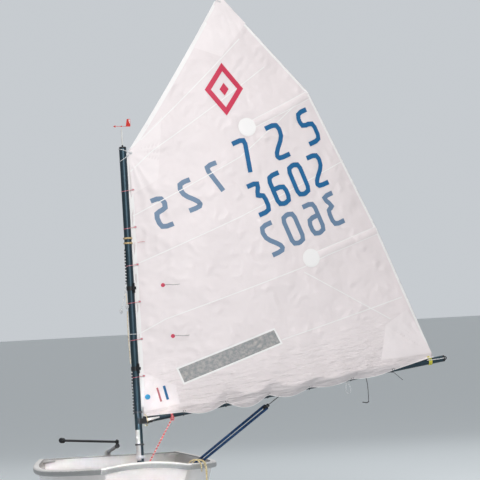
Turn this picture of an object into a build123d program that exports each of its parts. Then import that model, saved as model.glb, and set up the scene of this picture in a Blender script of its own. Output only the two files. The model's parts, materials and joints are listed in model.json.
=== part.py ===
from build123d import *
import math
import os

# A junior sailing dinghy: a blunt-bowed open hull with a sprit rig, a daggerboard and a hung rudder.
# Millimetres. +X points forward, +Y to port and +Z up. The origin is at mid-length on the
# centreline, in the plane of the water that the hull floats in.

# Hull skin. Each station, from bow to stern, holds:
# x at the sheer, half width and height there, x at the bottom, half width and height there.
STATIONS = [
    (1150.0, 262.0, 307.0, 985.0, 200.0, 75.0),
    (750.0, 402.0, 296.0, 740.0, 312.0, -22.0),
    (300.0, 508.0, 288.0, 300.0, 393.0, -102.0),
    (-150.0, 543.0, 287.0, -150.0, 443.0, -120.0),
    (-600.0, 526.0, 297.0, -600.0, 428.0, -98.0),
    (-1150.0, 448.0, 320.0, -1120.0, 362.0, -34.0),
]
SKIN = 12.0
CHINE_RADIUS = 26.0
BOW_CROWN = 25.0
FIT_GAP = 0.3
OPEN_TOP = 60.0
# Length of tools that cut right through, and how far trimmed pieces are first drawn too long.
THROUGH = 400.0
TRIM = 40.0

# Gunwale strips: a cap over the skin's edge and a skirt outside it.
CAP_THICK = 8.0
GUNWALE_OUT = 22.0
GUNWALE_IN = 16.0
SKIRT_DEEP = 30.0
GUNWALE_ROUND = 12.0
GUNWALE_TUCK = 4.0

# Mast and its seats.
MAST_X = 850.0
MAST_FOOT_Z = 56.0
MAST_RAKE = 2.0
MAST_DIAMETER = 45.0
MAST_LENGTH = 2208.0
MAST_PLAY = 0.6
THWART_WIDTH = 130.0
THWART_THICK = 22.0
THWART_BELOW_SHEER = 14.0
STEP_LENGTH = 120.0
STEP_WIDTH = 90.0
STEP_RISE = 40.0
MAST_BEVEL = 3.0
PLUG_HEIGHT = 10.0
PLUG_BEVEL = 4.0
BOSS_HEIGHT = 10.0
BOSS_FOOT_RADIUS = 6.0
BOSS_TOP_RADIUS = 5.0

# Cleats on the mast, each on its collar.
LOWER_CLEAT_UP = 849.0
UPPER_CLEAT_UP = 1344.0
COLLAR_HEIGHT = 26.0
COLLAR_WALL = 4.0
CLEAT_OUT = 9.0
CLEAT_TURN = 20.0
HORN_LENGTH = 60.0
HORN_DEPTH = 12.0
HORN_THICK = 9.0
CLEAT_FOOT_LENGTH = 18.0
CLEAT_FOOT_DEPTH = 14.0
CLEAT_FOOT_WIDTH = 26.0

# Boom, swung out to port from straight aft.
BOOM_OUT = 78.0
BOOM_RISE = 8.15
BOOM_UP_MAST = 526.0
BOOM_DIAMETER = 40.0
BOOM_LENGTH = 2045.0
BOOM_START = 62.0
JAW_WIDTH = 68.0
JAW_HEIGHT = 34.0
JAW_REACH = 12.0
JAW_ROUND = 8.5
SOCKET_DEPTH = 25.0
SOCKET_WALL = 3.0
END_CAP_LENGTH = 14.0
END_EYE_RADIUS = 11.5
END_EYE_HOLE = 6.5
END_EYE_THICK = 5.0
END_EYE_OUT = 6.0

# Sprit, from low on the mast to the sail's peak, on the windward side of the sail.
SPRIT_UP_MAST = 1016.0
SPRIT_DIAMETER = 28.0
SPRIT_SIDE = 42.0
SPRIT_END_SIDE = 20.0
SPRIT_PIN_DIAMETER = 10.0
HEEL_PIN = 25.0
TIP_PIN = 66.0
SPRIT_PLUG = 45.0

# Sail, measured from its tack: each row holds how far up the luff a cloth section starts,
# how far out and how far up it ends at the leech, and the depth of its camber.
TACK_OUT = 35.0
TACK_UP_MAST = 563.0
SAIL_ROWS = [
    (0.0, 1959.0, 291.0, 40.0),
    (541.0, 1641.0, 1084.0, 150.0),
    (1082.0, 1236.0, 1958.0, 130.0),
    (1622.0, 686.0, 2580.0, 45.0),
]
CLOTH = 5.0
BATTEN_WIDTH = 30.0
BATTEN_LENGTH = 430.0
BATTEN_ROWS = (1, 2)
BATTEN_DROOP = 12.0
BATTEN_OFF_LEECH = 8.0
BATTEN_DOWN = 24.0
EYELET_RADIUS = 6.5

# Lashings, as closed loops of thin line.
TIE_DIAMETER = 4.0
TIE_BEND = 9.0
TIE_EASE = 2.6
LUFF_TIE_FIRST = 236.0
LUFF_TIE_STEP = 227.0
LUFF_TIES = 6
LUFF_TIE_IN = 16.0
THROAT_TIE_DOWN = 30.0
FOOT_TIE_FIRST = 290.0
FOOT_TIE_STEP = 278.0
FOOT_TIES = 6
FOOT_TIE_IN = 16.0
CLEW_TIE_IN = 30.0
BECKET_DOWN = 42.0
BECKET_RADIUS = 17.0

# Wind vane on the masthead.
STAFF_HEIGHT = 112.0
STAFF_DIAMETER = 4.0
VANE_PIN_LENGTH = 12.0
HUB_RADIUS = 4.0
HUB_HEIGHT = 8.0
ARM_RADIUS = 1.25
ARM_TUCK = 4.0
VANE_NOSE = 62.0
VANE_TAIL = 68.0
VANE_SHEET = 2.0
NOSE_LENGTH = 18.0
NOSE_HALF = 7.0
FIN_LENGTH = 34.0
FIN_TOP_LENGTH = 23.8
FIN_HEIGHT = 46.0
VANE_TURN = 95.0

# Daggerboard and its case.
SLOT_FRONT = 360.0
SLOT_BACK = 30.0
SLOT_WIDTH = 17.0
CASE_WALL = 12.0
CASE_TOP = 215.0
CASE_ROUND = 9.6
LIP_OUT = 8.0
LIP_HEIGHT = 12.0
BOARD_THICK = 14.5
BOARD_WIDTH = 285.0
BOARD_LENGTH = 1067.0
BOARD_ABOVE_CASE = 32.0
BOARD_CORNER = 60.0
BEVEL_ALONG = 22.0
BEVEL_DEEP = 4.5
HANDLE_THICK = 15.0
HANDLE_HEIGHT = 26.0
HANDLE_SHORTER = 10.0
HANDLE_ROUND = 4.0

# Midship frame behind the case, with a plank on it and a cut-out on each side.
FRAME_THICK = 14.0
FRAME_X = SLOT_BACK - CASE_WALL - LIP_OUT - FIT_GAP - FRAME_THICK / 2
FRAME_TOP_BELOW_SHEER = 20.0
FRAME_BEAM = 70.0
PLANK_THICK = 16.0
CUTOUT_FROM_MIDDLE = 50.0
CUTOUT_FROM_SIDE = 60.0
CUTOUT_FROM_FLOOR = 85.0
CUTOUT_FROM_TOP = 65.0
CUTOUT_ROUND = 50.0

# Knees in the stern's corners.
KNEE_ALONG = 110.0
KNEE_ACROSS = 140.0
KNEE_THICK = 10.0
KNEE_BELOW_SHEER = 14.0

# Rudder, hung on two gudgeons. Heights are along the hinge line from its middle.
HINGE_BEHIND = 42.0
HINGE_MIDDLE_Z = 130.0
GUDGEON_SPREAD = 220.0
PIN_DIAMETER = 8.0
PIN_PLAY = 0.05
BARREL_LENGTH = 25.0
BARREL_DIAMETER = 17.0
PLATE_THICK = 4.0
PLATE_WIDTH = 90.0
PLATE_HEIGHT = 34.0
PLATE_ROUND = 10.0
WEB_THICK = 12.0
ARM_LENGTH = 22.0
ARM_AHEAD = 9.0
ARM_THICK = 8.0
ARM_ROUND = 5.0
PIN_TUCK = 2.0
PIN_BELOW = 6.0
PINTLE_STRAP_LENGTH = 90.0
PINTLE_STRAP_THICK = 3.0
PINTLE_STRAP_HEIGHT = 24.0
PINTLE_STRAP_BACK = 11.0
PINTLE_STRAP_DROP = 16.0

# Rudder blade and head: outlines as (forward of the hinge line, up it), from the top front round.
BLADE_THICK = 14.5
BLADE_DOWN = 590.0
BLADE_TOP = 70.0
BLADE_OUTLINE = [
    (-16.0, BLADE_TOP),
    (-16.0, -520.0),
    (-60.0, -BLADE_DOWN),
    (-230.0, -BLADE_DOWN),
    (-292.0, -510.0),
    (-262.0, -150.0),
    (-170.0, BLADE_TOP),
]
BLADE_ROUNDED = 4
BLADE_ROUND = 36.0
HEAD_TOP = 212.0
HEAD_OUTLINE = [
    (-16.0, -130.0),
    (-16.0, HEAD_TOP),
    (-120.0, HEAD_TOP),
    (-150.0, 60.0),
    (-150.0, -130.0),
]
HEAD_ROUND = 12.0
CHEEK_THICK = 10.0

# Tiller and its extension.
TILLER_UP = 224.0
TILLER_DIAMETER = 22.0
TILLER_LENGTH = 750.0
TILLER_BACK = -120.0
TILLER_SOCKET_DIAMETER = 33.0
TILLER_SOCKET_FRONT = -6.0
SADDLE_LENGTH = 28.0
SADDLE_WALL = 4.0
POST_RADIUS = 9.0
PIVOT_RADIUS = 5.0
PIVOT_ABOVE = 6.0
PIVOT_EYE_RADIUS = 13.0
PIVOT_EYE_HEIGHT = 18.0
STEM_LENGTH = 40.0
STEM_RADIUS = 7.0
KNOB_LENGTH = 32.0
KNOB_WALL = 9.0
KNOB_BEVEL_ALONG = 8.0
KNOB_BEVEL_IN = 5.0
EXTENSION_LENGTH = 600.0
EXTENSION_DIAMETER = 16.0
EXTENSION_RISE = 27.0
EXTENSION_AT_REST = -40.0
EXTENSION_FROM_END = 20.0

# Air bags and straps.
BAG_RADIUS = 95.0
SIDE_BAG_LENGTH = 780.0
SIDE_BAG_FRONT = -80.0
STERN_BAG_LENGTH = 640.0
STERN_BAG_X = -1000.0
BAG_END = 70.0
BAG_TIP_SHARE = 0.35
BAG_SHOULDER_SHARE = 0.82
BAG_SHOULDER_AT = 0.3
BAG_INBOARD = 9.0
BAG_LIFT = 12.0
STERN_BAG_LIFT = 27.0
STRAP_WIDTH = 40.0
STRAP_THICK = 2.5
STRAP_FOOT = 260.0
SIDE_STRAPS = (-230.0, 0.0, 230.0)
STERN_STRAPS = (-190.0, 190.0)
TOE_STRAP_WIDTH = 50.0
TOE_STRAP_THICK = 3.0
TOE_STRAP_UP = 70.0
TOE_STRAP_APART = 150.0
TOE_STRAP_DIP = 30.0
TOE_STRAP_DIP_RUN = 60.0
TOE_STRAP_DROP_RUN = 110.0
TOE_STRAP_BEND = 40.0
TOE_STRAP_CLEAR = 25.0
TOE_STRAP_TRIM = 10.0

# Mainsheet gear.
SHEET_POINT = 981.0
BRIDLE_LENGTH = 150.0
BRIDLE_DIAMETER = 5.0
BAND_THICK = 2.0
BAND_WIDTH = 22.0
BLOCK_RADIUS = 17.0
BLOCK_GAP = 10.0
BLOCK_HEAD = 14.0
BLOCK_CHEEK = 4.0
BLOCK_STRAP_WIDTH = 14.0
CROWN_DOWN = 1.0
CROWN_HEIGHT = 8.0
AXLE_RADIUS = 3.0
WHEEL_PLAY = 1.0
WHEEL_SMALLER = 2.0
GROOVE_OUT = 3.0
GROOVE_RADIUS = 4.5
RATCHET_X = -70.0
RATCHET_UP = 64.0
RATCHET_RADIUS = 25.0
RATCHET_FOOT_LENGTH = 70.0
RATCHET_FOOT_WIDTH = 50.0
RATCHET_FOOT_RISE = 8.0
RATCHET_FOOT_ROUND = 14.0
RATCHET_POST_RADIUS = 8.0
RATCHET_POST_HEIGHT = 14.0

# Painter: a bow line tied off at the mast thwart, over the port gunwale and back to its coil.
PAINTER_DIAMETER = 6.0
PAINTER_POINTS = [
    (866.0, 150.0, 285.2),
    (868.0, 152.0, 305.0),
    (884.0, 162.0, 319.0),
    (911.0, 180.0, 317.0),
    (938.0, 204.0, 301.0),
    (968.0, 228.0, 284.0),
    (998.0, 250.0, 282.0),
    (1019.0, 266.0, 298.0),
    (1030.0, 281.0, 321.0),
    (1037.0, 302.0, 333.0),
    (1042.0, 329.0, 328.0),
    (1045.0, 347.0, 306.0),
    (1045.0, 351.0, 275.0),
    (1030.0, 352.5, 258.0),
    (1008.0, 354.5, 258.0),
    (993.0, 356.5, 275.0),
    (991.0, 356.0, 302.0),
    (988.0, 343.0, 323.0),
    (974.0, 319.0, 329.0),
    (956.0, 311.0, 332.0),
    (936.0, 320.0, 330.0),
    (932.0, 350.0, 328.0),
    (929.0, 376.0, 316.0),
    (928.0, 387.0, 288.0),
    (932.0, 390.0, 246.0),
    (938.0, 388.0, 196.0),
    (938.0, 387.0, 152.0),
    (923.0, 388.0, 130.0),
    (901.0, 391.0, 130.0),
    (886.0, 394.0, 150.0),
    (882.0, 398.0, 194.0),
    (884.0, 401.0, 246.0),
    (888.0, 399.0, 290.0),
    (896.0, 386.0, 317.0),
    (908.0, 358.0, 330.0),
    (921.0, 328.0, 327.0),
    (935.0, 304.0, 305.0),
    (948.0, 286.0, 270.0),
    (960.0, 264.0, 228.0),
    (968.0, 238.0, 191.0),
    (973.0, 210.0, 162.0),
    (974.0, 184.0, 141.0),
    (972.0, 158.0, 124.6),
]
COIL_CENTRE = (925.0, 124.0)
COIL_RADIUS = 52.0
COIL_THICK = 18.0
COIL_LIFT = 7.0
COIL_SIDES = 8
# Radius of a bend as a share of its shorter run, over the tangent of half the turn.
BEND_SHARE = 0.45

SHEER_X, SHEER_HALF, SHEER_Z, BOTTOM_X, BOTTOM_HALF, BOTTOM_Z = range(6)
STANDING = (Align.CENTER, Align.CENTER, Align.MIN)
HUNG = (Align.CENTER, Align.CENTER, Align.MAX)


def along(a, b, share):
    """A value between a and b."""
    return a + (b - a) * share


def station_at(x, top=True):
    """Half width and height of the sheer, or of the bottom, at a place along the hull."""
    columns = (SHEER_X, SHEER_HALF, SHEER_Z) if top else (BOTTOM_X, BOTTOM_HALF, BOTTOM_Z)
    place, half, height = columns
    for front, back in zip(STATIONS, STATIONS[1:]):
        if x >= back[place] or back is STATIONS[-1]:
            share = (front[place] - x) / (front[place] - back[place])
            return along(front[half], back[half], share), along(front[height], back[height], share)


def moved_in(station, distance):
    """The station that a transom's inner face stands at, square along X from its outer face."""
    way = -distance if station is STATIONS[0] else distance
    top = station_at(station[SHEER_X] + way)
    bottom = station_at(station[BOTTOM_X] + way, top=False)
    return (station[SHEER_X] + way, *top, station[BOTTOM_X] + way, *bottom)


def section(station, inset, rise, crown):
    """Closed outline across the hull: two sides, a flat bottom, rounded chines, a crowned top."""
    low = Vector(station[BOTTOM_X], station[BOTTOM_HALF], station[BOTTOM_Z])
    high = Vector(station[SHEER_X], station[SHEER_HALF], station[SHEER_Z])
    side = (high - low).normalized()
    across = inset * math.hypot(high.Y - low.Y, high.Z - low.Z) / (high.Z - low.Z)
    low = low + side * (inset / side.Z) - Vector(0, across, 0)
    high = high + side * (rise / side.Z) - Vector(0, across, 0)
    inward = Vector(0, -1, 0)
    turn = math.radians(180 - side.get_angle(inward))
    radius = CHINE_RADIUS - inset
    reach = radius * math.tan(turn / 2)
    start = low + side * reach
    end = low + inward * reach
    bisector = (side + inward).normalized()
    middle = low + bisector * (radius / math.cos(turn / 2) - radius)
    port = [high, start, middle, end]
    starboard = [Vector(point.X, -point.Y, point.Z) for point in port]
    top = Vector(high.X + crown * side.X / side.Z, 0, high.Z + crown)
    edges = [
        Line(port[0], port[1]),
        ThreePointArc(port[1], port[2], port[3]),
        Line(port[3], starboard[3]),
        ThreePointArc(starboard[3], starboard[2], starboard[1]),
        Line(starboard[1], starboard[0]),
        ThreePointArc(starboard[0], top, port[0]) if crown else Line(starboard[0], port[0]),
    ]
    return Face(Wire([edge.edge() for edge in edges]))


def hull_form(inset=0.0, rise=0.0):
    """Solid of the hull's outer form, or of the space inside it."""
    rows = list(STATIONS)
    if inset:
        rake = STATIONS[0][SHEER_X] - STATIONS[0][BOTTOM_X]
        deep = STATIONS[0][SHEER_Z] - STATIONS[0][BOTTOM_Z]
        rows[0] = moved_in(STATIONS[0], inset * math.hypot(rake, deep) / deep)
        rows[-1] = moved_in(STATIONS[-1], inset)
    crowns = [BOW_CROWN] + [0.0] * (len(rows) - 1)
    return loft([section(row, inset, rise, crown) for row, crown in zip(rows, crowns)])


def inside():
    """The space that pieces fitted into the hull fill, up past the gunwales."""
    return hull_form(SKIN + FIT_GAP, OPEN_TOP)


def hull_shell():
    """Skin of the hull, open at the top, with the slot for the board."""
    shell = hull_form() - hull_form(SKIN, OPEN_TOP)
    slot = Box(SLOT_FRONT - SLOT_BACK, SLOT_WIDTH, THROUGH, align=HUNG)
    return shell - Pos((SLOT_FRONT + SLOT_BACK) / 2, 0, CASE_TOP) * slot


def end_plane(station, out):
    """Plane of a transom, moved outward."""
    bow = station is STATIONS[0]
    up = Vector(station[SHEER_X] - station[BOTTOM_X], 0, station[SHEER_Z] - station[BOTTOM_Z]).normalized()
    facing = Vector(up.Z, 0, -up.X) if bow else Vector(-up.Z, 0, up.X)
    origin = Vector(station[SHEER_X], 0, station[SHEER_Z]) + facing * out
    return Plane(origin=origin, x_dir=(0, 1, 0), z_dir=facing)


def gunwale_section(x, half, z, side):
    """Section of a side strip, square inside and rounded outside."""
    turn = GUNWALE_ROUND * (1 - math.sqrt(0.5))
    places = [
        (-GUNWALE_IN, -SKIRT_DEEP),
        (-GUNWALE_IN, CAP_THICK),
        (GUNWALE_OUT - GUNWALE_ROUND, CAP_THICK),
        (GUNWALE_OUT - turn, CAP_THICK - turn),
        (GUNWALE_OUT, CAP_THICK - GUNWALE_ROUND),
        (GUNWALE_OUT, GUNWALE_ROUND - SKIRT_DEEP),
        (GUNWALE_OUT - turn, turn - SKIRT_DEEP),
        (GUNWALE_OUT - GUNWALE_ROUND, -SKIRT_DEEP),
    ]
    a, b, c, d, e, f, g, h = (Vector(x, side * (half + out), z + up) for out, up in places)
    edges = [Line(a, b), Line(b, c), ThreePointArc(c, d, e), Line(e, f), ThreePointArc(f, g, h), Line(h, a)]
    return Face(Wire([edge.edge() for edge in edges]))


def end_rounding(station, height, down):
    """Tool that rounds the side strips' upper or lower end edge as the end strip's is."""
    facing = Vector(1 if station is STATIONS[0] else -1, 0, 0)
    plane = end_plane(station, GUNWALE_OUT)
    slope = plane.y_dir if plane.y_dir.Z > 0 else plane.y_dir * -1
    corner = plane.origin + slope * ((station[SHEER_Z] + height - plane.origin.Z) / slope.Z)
    inward, along_end = facing * -1, slope * down
    half_angle = math.radians(inward.get_angle(along_end)) / 2
    bisector = (inward + along_end).normalized()
    reach = GUNWALE_ROUND / math.tan(half_angle)
    start, end = corner + inward * reach, corner + along_end * reach
    middle = corner + bisector * (GUNWALE_ROUND / math.sin(half_angle) - GUNWALE_ROUND)
    beyond = corner - bisector * GUNWALE_ROUND
    outside = [start - Vector(0, 0, down * GUNWALE_ROUND), beyond, end + plane.z_dir * GUNWALE_ROUND]
    edges = [ThreePointArc(start, middle, end), Polyline(end, outside[2], outside[1], outside[0], start)]
    face = Face(Wire([edge for part in edges for edge in part.edges()]))
    return extrude(face, THROUGH, dir=(0, 1, 0), both=True)


def gunwale_side(side, hull):
    """Cap and skirt along one side, cut off and rounded level with the end strips."""
    bow, stern = STATIONS[0], STATIONS[-1]
    first = (bow[SHEER_X] + TRIM, *station_at(bow[SHEER_X] + TRIM))
    last = (stern[SHEER_X] - TRIM, *station_at(stern[SHEER_X] - TRIM))
    strip = loft([gunwale_section(*row[:3], side) for row in [first, *STATIONS, last]])
    for station in (bow, stern):
        strip = split(strip, bisect_by=end_plane(station, GUNWALE_OUT), keep=Keep.BOTTOM)
        for height, down in ((CAP_THICK, -1), (-SKIRT_DEEP, 1)):
            strip -= end_rounding(station, height, down)
    return strip - hull


def gunwale_end(station, crown, sides, hull):
    """Cap and skirt across the bow or the stern, fitted between the side strips."""
    facing = 1 if station is STATIONS[0] else -1
    x, half, z = station[:3]
    half -= GUNWALE_IN - GUNWALE_TUCK
    edges = []
    for height, way in ((-SKIRT_DEEP, 1), (CAP_THICK, -1)):
        points = [(0, -half * way, z + height), (0, 0, z + height + crown), (0, half * way, z + height)]
        edges.append(ThreePointArc(*points) if crown else Line(points[0], points[2]))
    edges.append(Line(edges[0] @ 1, edges[1] @ 0))
    edges.append(Line(edges[1] @ 1, edges[0] @ 0))
    face = Face(Wire([edge.edge() for edge in edges]))
    cap = extrude(Pos(x - facing * GUNWALE_IN, 0, 0) * face, THROUGH, dir=(facing, 0, 0))
    skirt = extrude(Pos(x - facing * THROUGH / 2, 0, 0) * face, THROUGH, dir=(facing, 0, 0))
    skirt = split(skirt, bisect_by=end_plane(station, 0), keep=Keep.TOP)
    outer = end_plane(station, GUNWALE_OUT)
    strip = split(cap + skirt, bisect_by=outer, keep=Keep.BOTTOM)
    long_edges = [edge for edge in strip.edges() if edge.length > half]
    rounded = [edge for edge in long_edges if abs(outer.to_local_coords(edge @ 0.5).Z) < FIT_GAP]
    strip = fillet(rounded, GUNWALE_ROUND)
    return (strip - hull - sides).solids().sort_by(SortBy.VOLUME)[-1]


def mast_plane():
    """Frame on the mast's foot: Z up the mast, Y out along the boom's side, X to leeward."""
    rake = math.radians(MAST_RAKE)
    out = math.radians(BOOM_OUT)
    aft = Vector(-math.cos(rake), 0, -math.sin(rake))
    leeward = Vector(0, math.cos(out), 0) - aft * math.sin(out)
    up = Vector(-math.sin(rake), 0, math.cos(rake))
    return Plane(origin=(MAST_X, 0, MAST_FOOT_Z), x_dir=leeward, z_dir=up)


RIG = mast_plane()
BOOM_WAY = Vector(0, math.cos(math.radians(BOOM_RISE)), math.sin(math.radians(BOOM_RISE)))


def on_rig(shape):
    """A shape drawn in the mast's frame, set in the boat's."""
    return RIG.location * shape


def rod(start, end, radius):
    """Round bar between two points."""
    start, end = Vector(*start), Vector(*end)
    base = Plane(origin=start, z_dir=end - start)
    return extrude(base * Circle(radius), (end - start).length)


def mast_at(z):
    """X of the mast's axis at a height."""
    return MAST_X - math.tan(math.radians(MAST_RAKE)) * (z - MAST_FOOT_Z)


def mast_bore(extra):
    """Cylinder round the mast's axis, for the seats that it turns in."""
    bore = Cylinder(MAST_DIAMETER / 2 + extra, THROUGH, align=STANDING)
    return on_rig(Pos(0, 0, -FIT_GAP) * bore)


def mast_thwart(space):
    """Plank across the bow with a hole for the mast."""
    half, z = station_at(MAST_X)
    top = z - THWART_BELOW_SHEER
    plank = Box(THWART_WIDTH, 2 * half, THWART_THICK, align=HUNG)
    plank = fillet(plank.edges().filter_by(Axis.Y), THWART_THICK / 4)
    return (Pos(mast_at(top), 0, top) * plank & space) - mast_bore(MAST_PLAY)


def mast_step(space):
    """Block on the floor with a cup for the mast's foot."""
    block = Box(STEP_LENGTH, STEP_WIDTH, THROUGH, align=HUNG)
    block = fillet(block.edges().filter_by(Axis.Z), STEP_WIDTH / 5)
    block = Pos(MAST_X, 0, MAST_FOOT_Z + STEP_RISE) * block & space
    return block - mast_bore(MAST_PLAY)


def mast():
    """Round spar with a bevelled foot."""
    spar = Cylinder(MAST_DIAMETER / 2, MAST_LENGTH, align=STANDING)
    spar = chamfer(spar.edges().sort_by(Axis.Z)[0], MAST_BEVEL)
    return on_rig(spar)


def masthead_plug():
    """Cap of the masthead, with the boss that carries the vane's staff."""
    radius = MAST_DIAMETER / 2
    top = PLUG_HEIGHT + BOSS_HEIGHT
    profile = Polyline((0, 0), (radius, 0), (radius, PLUG_HEIGHT - PLUG_BEVEL),
                       (radius - PLUG_BEVEL, PLUG_HEIGHT), (BOSS_FOOT_RADIUS, PLUG_HEIGHT),
                       (BOSS_TOP_RADIUS, top), (0, top), close=True)
    plug = revolve(Plane.XZ * make_face(profile), Axis.Z)
    return on_rig(Pos(0, 0, MAST_LENGTH) * plug)


def vane_staff():
    """Thin staff above the masthead, with a shoulder that the vane sits on."""
    base = MAST_LENGTH + PLUG_HEIGHT + BOSS_HEIGHT
    radius = STAFF_DIAMETER / 2
    staff = Cylinder(radius, STAFF_HEIGHT, align=STANDING)
    pin = Cylinder(radius / 2, VANE_PIN_LENGTH, align=STANDING)
    return on_rig(Pos(0, 0, base) * (staff + Pos(0, 0, STAFF_HEIGHT) * pin))


def wind_vane():
    """Arrow with a nose and a tail fin, on a hub that turns on the staff's pin."""
    base = MAST_LENGTH + PLUG_HEIGHT + BOSS_HEIGHT + STAFF_HEIGHT + FIT_GAP
    bore = Cylinder(STAFF_DIAMETER / 4 + PIN_PLAY, HUB_HEIGHT)
    vane = Cylinder(HUB_RADIUS, HUB_HEIGHT) - bore
    vane += rod((0, HUB_RADIUS / 2, 0), (0, VANE_NOSE - NOSE_LENGTH + ARM_TUCK, 0), ARM_RADIUS)
    vane += rod((0, -HUB_RADIUS / 2, 0), (0, ARM_TUCK - VANE_TAIL, 0), ARM_RADIUS)
    nose = Polyline((VANE_NOSE - NOSE_LENGTH, -NOSE_HALF), (VANE_NOSE, 0),
                    (VANE_NOSE - NOSE_LENGTH, NOSE_HALF), close=True)
    fin = Polyline((FIN_LENGTH - VANE_TAIL, 0), (FIN_TOP_LENGTH - VANE_TAIL, FIN_HEIGHT),
                   (-VANE_TAIL, FIN_HEIGHT), (-VANE_TAIL, 0), close=True)
    for outline in (nose, fin):
        vane += extrude(Plane.YZ * make_face(outline), VANE_SHEET / 2, both=True)
    turned = Rot(0, 0, 180 + VANE_TURN - BOOM_OUT) * vane
    return on_rig(Pos(0, 0, base + HUB_HEIGHT / 2) * turned)


def boom_point(distance, up=0.0, side=0.0):
    """Point along the boom's axis from the mast, and up or to leeward of it."""
    across = Vector(0, -BOOM_WAY.Z, BOOM_WAY.Y)
    return Vector(side, 0, BOOM_UP_MAST) + BOOM_WAY * distance + across * up


def boom_frame(distance):
    """Plane across the boom at a distance from the mast: X to leeward, Y up."""
    return Plane(origin=boom_point(distance), x_dir=(1, 0, 0), z_dir=(0, -BOOM_WAY.Y, -BOOM_WAY.Z))


def boom():
    """Round spar from the jaws to its end cap."""
    return on_rig(rod(boom_point(BOOM_START), boom_point(BOOM_LENGTH), BOOM_DIAMETER / 2))


def boom_jaws():
    """Fork that holds the mast from behind, with the socket of the boom."""
    bore = MAST_DIAMETER / 2 + FIT_GAP
    plan = Rectangle(JAW_WIDTH, BOOM_START + JAW_REACH, align=(Align.CENTER, Align.MIN))
    plan = Pos(0, -JAW_REACH) * plan
    plan = fillet(plan.vertices(), JAW_ROUND)
    plan -= Circle(bore)
    plan -= Pos(0, -JAW_WIDTH / 2) * Rectangle(2 * bore, JAW_WIDTH)
    jaws = extrude(plan, JAW_HEIGHT / 2, both=True)
    jaws = Pos(0, 0, BOOM_UP_MAST) * jaws
    radius = BOOM_DIAMETER / 2
    back, front = boom_point(BOOM_START - SOCKET_DEPTH), boom_point(BOOM_START + SOCKET_DEPTH)
    socket = rod(back, front, radius + SOCKET_WALL)
    spar = rod(boom_point(BOOM_START), boom_point(BOOM_START + THROUGH), radius)
    return on_rig(jaws + socket - spar)


def boom_end_cap():
    """Plug of the boom's outer end with an eye for the clew's line."""
    plug = rod(boom_point(BOOM_LENGTH), boom_point(BOOM_LENGTH + END_CAP_LENGTH), BOOM_DIAMETER / 2)
    eye = extrude(Circle(END_EYE_RADIUS) - Circle(END_EYE_HOLE), END_EYE_THICK / 2, both=True)
    eye = Plane(origin=boom_point(BOOM_LENGTH + END_CAP_LENGTH + END_EYE_OUT), z_dir=(1, 0, 0)) * eye
    return on_rig(plug + eye)


def sprit_ends():
    """Heel and tip of the sprit in the mast's frame."""
    peak = SAIL_ROWS[-1]
    heel = Vector(-SPRIT_SIDE, 0, SPRIT_UP_MAST)
    tip = Vector(-SPRIT_END_SIDE, peak[1], TACK_UP_MAST + peak[2])
    return heel, tip


def sprit():
    """Round spar that holds the peak up."""
    heel, tip = sprit_ends()
    way = (tip - heel).normalized()
    start, end = heel + way * (HEEL_PIN + SPRIT_PLUG), tip - way * (TIP_PIN + SPRIT_PLUG)
    return on_rig(rod(start, end, SPRIT_DIAMETER / 2))


def sprit_fittings():
    """Plugs at the sprit's two ends, each with a slim pin that a line holds."""
    heel, tip = sprit_ends()
    way = (tip - heel).normalized()
    plugs = []
    for end, sign, pin in ((heel, 1, HEEL_PIN), (tip, -1, TIP_PIN)):
        inward = way * sign
        plug = rod(end + inward * pin, end + inward * (pin + SPRIT_PLUG), SPRIT_DIAMETER / 2)
        plugs.append(on_rig(plug + rod(end, end + inward * (pin + 1), SPRIT_PIN_DIAMETER / 2)))
    return plugs


def sail_row(share):
    """Luff point, leech point and camber of the cloth section at a share of the luff."""
    rows = SAIL_ROWS
    place = share * (len(rows) - 1)
    index = min(int(place), len(rows) - 2)
    part = place - index
    luff, out, up, camber = (along(a, b, part) for a, b in zip(rows[index], rows[index + 1]))
    return Vector(0, TACK_OUT, TACK_UP_MAST + luff), Vector(0, out, TACK_UP_MAST + up), camber


def sail_section(share):
    """Thin closed outline of one cloth section."""
    luff, leech, camber = sail_row(share)
    middle = luff + (leech - luff) * 0.5 + Vector(camber, 0, 0)
    back = Vector(-CLOTH, 0, 0)
    edges = [
        ThreePointArc(luff, middle, leech),
        Line(leech, leech + back),
        ThreePointArc(leech + back, middle + back, luff + back),
        Line(luff + back, luff),
    ]
    return Face(Wire([edge.edge() for edge in edges]))


def sail_form():
    """Curved sheet of cloth from tack to peak, without its eyelets."""
    count = len(SAIL_ROWS) - 1
    return loft([sail_section(row / count) for row in range(count + 1)])


def cloth_at(cloth, out, up):
    """Middle of the cloth at a place out from the mast and up it."""
    line = Edge.make_line((-THROUGH, out, up), (THROUGH, out, up))
    return line.intersect(cloth).edges()[0] @ 0.5


def luff_holes(cloth):
    """Where the luff's eyelets are: to leeward, out from the mast and up it."""
    holes = []
    length = SAIL_ROWS[-1][0]
    ups = [LUFF_TIE_FIRST + LUFF_TIE_STEP * index for index in range(LUFF_TIES)]
    ups.append(length - THROAT_TIE_DOWN)
    for up in ups:
        luff, leech, camber = sail_row(up / length)
        chord = leech - luff
        holes.append(cloth_at(cloth, TACK_OUT + LUFF_TIE_IN, luff.Z + chord.Z * LUFF_TIE_IN / chord.Y))
    return holes


def foot_holes(cloth):
    """Where the foot's eyelets are: to leeward, out from the mast and up it."""
    luff, leech, camber = sail_row(0)
    chord = leech - luff
    outs = [FOOT_TIE_FIRST + FOOT_TIE_STEP * index for index in range(FOOT_TIES)]
    outs.append(leech.Y - CLEW_TIE_IN)
    holes = []
    for out in outs:
        holes.append(cloth_at(cloth, out, luff.Z + chord.Z * (out - luff.Y) / chord.Y + FOOT_TIE_IN))
    return holes


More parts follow.
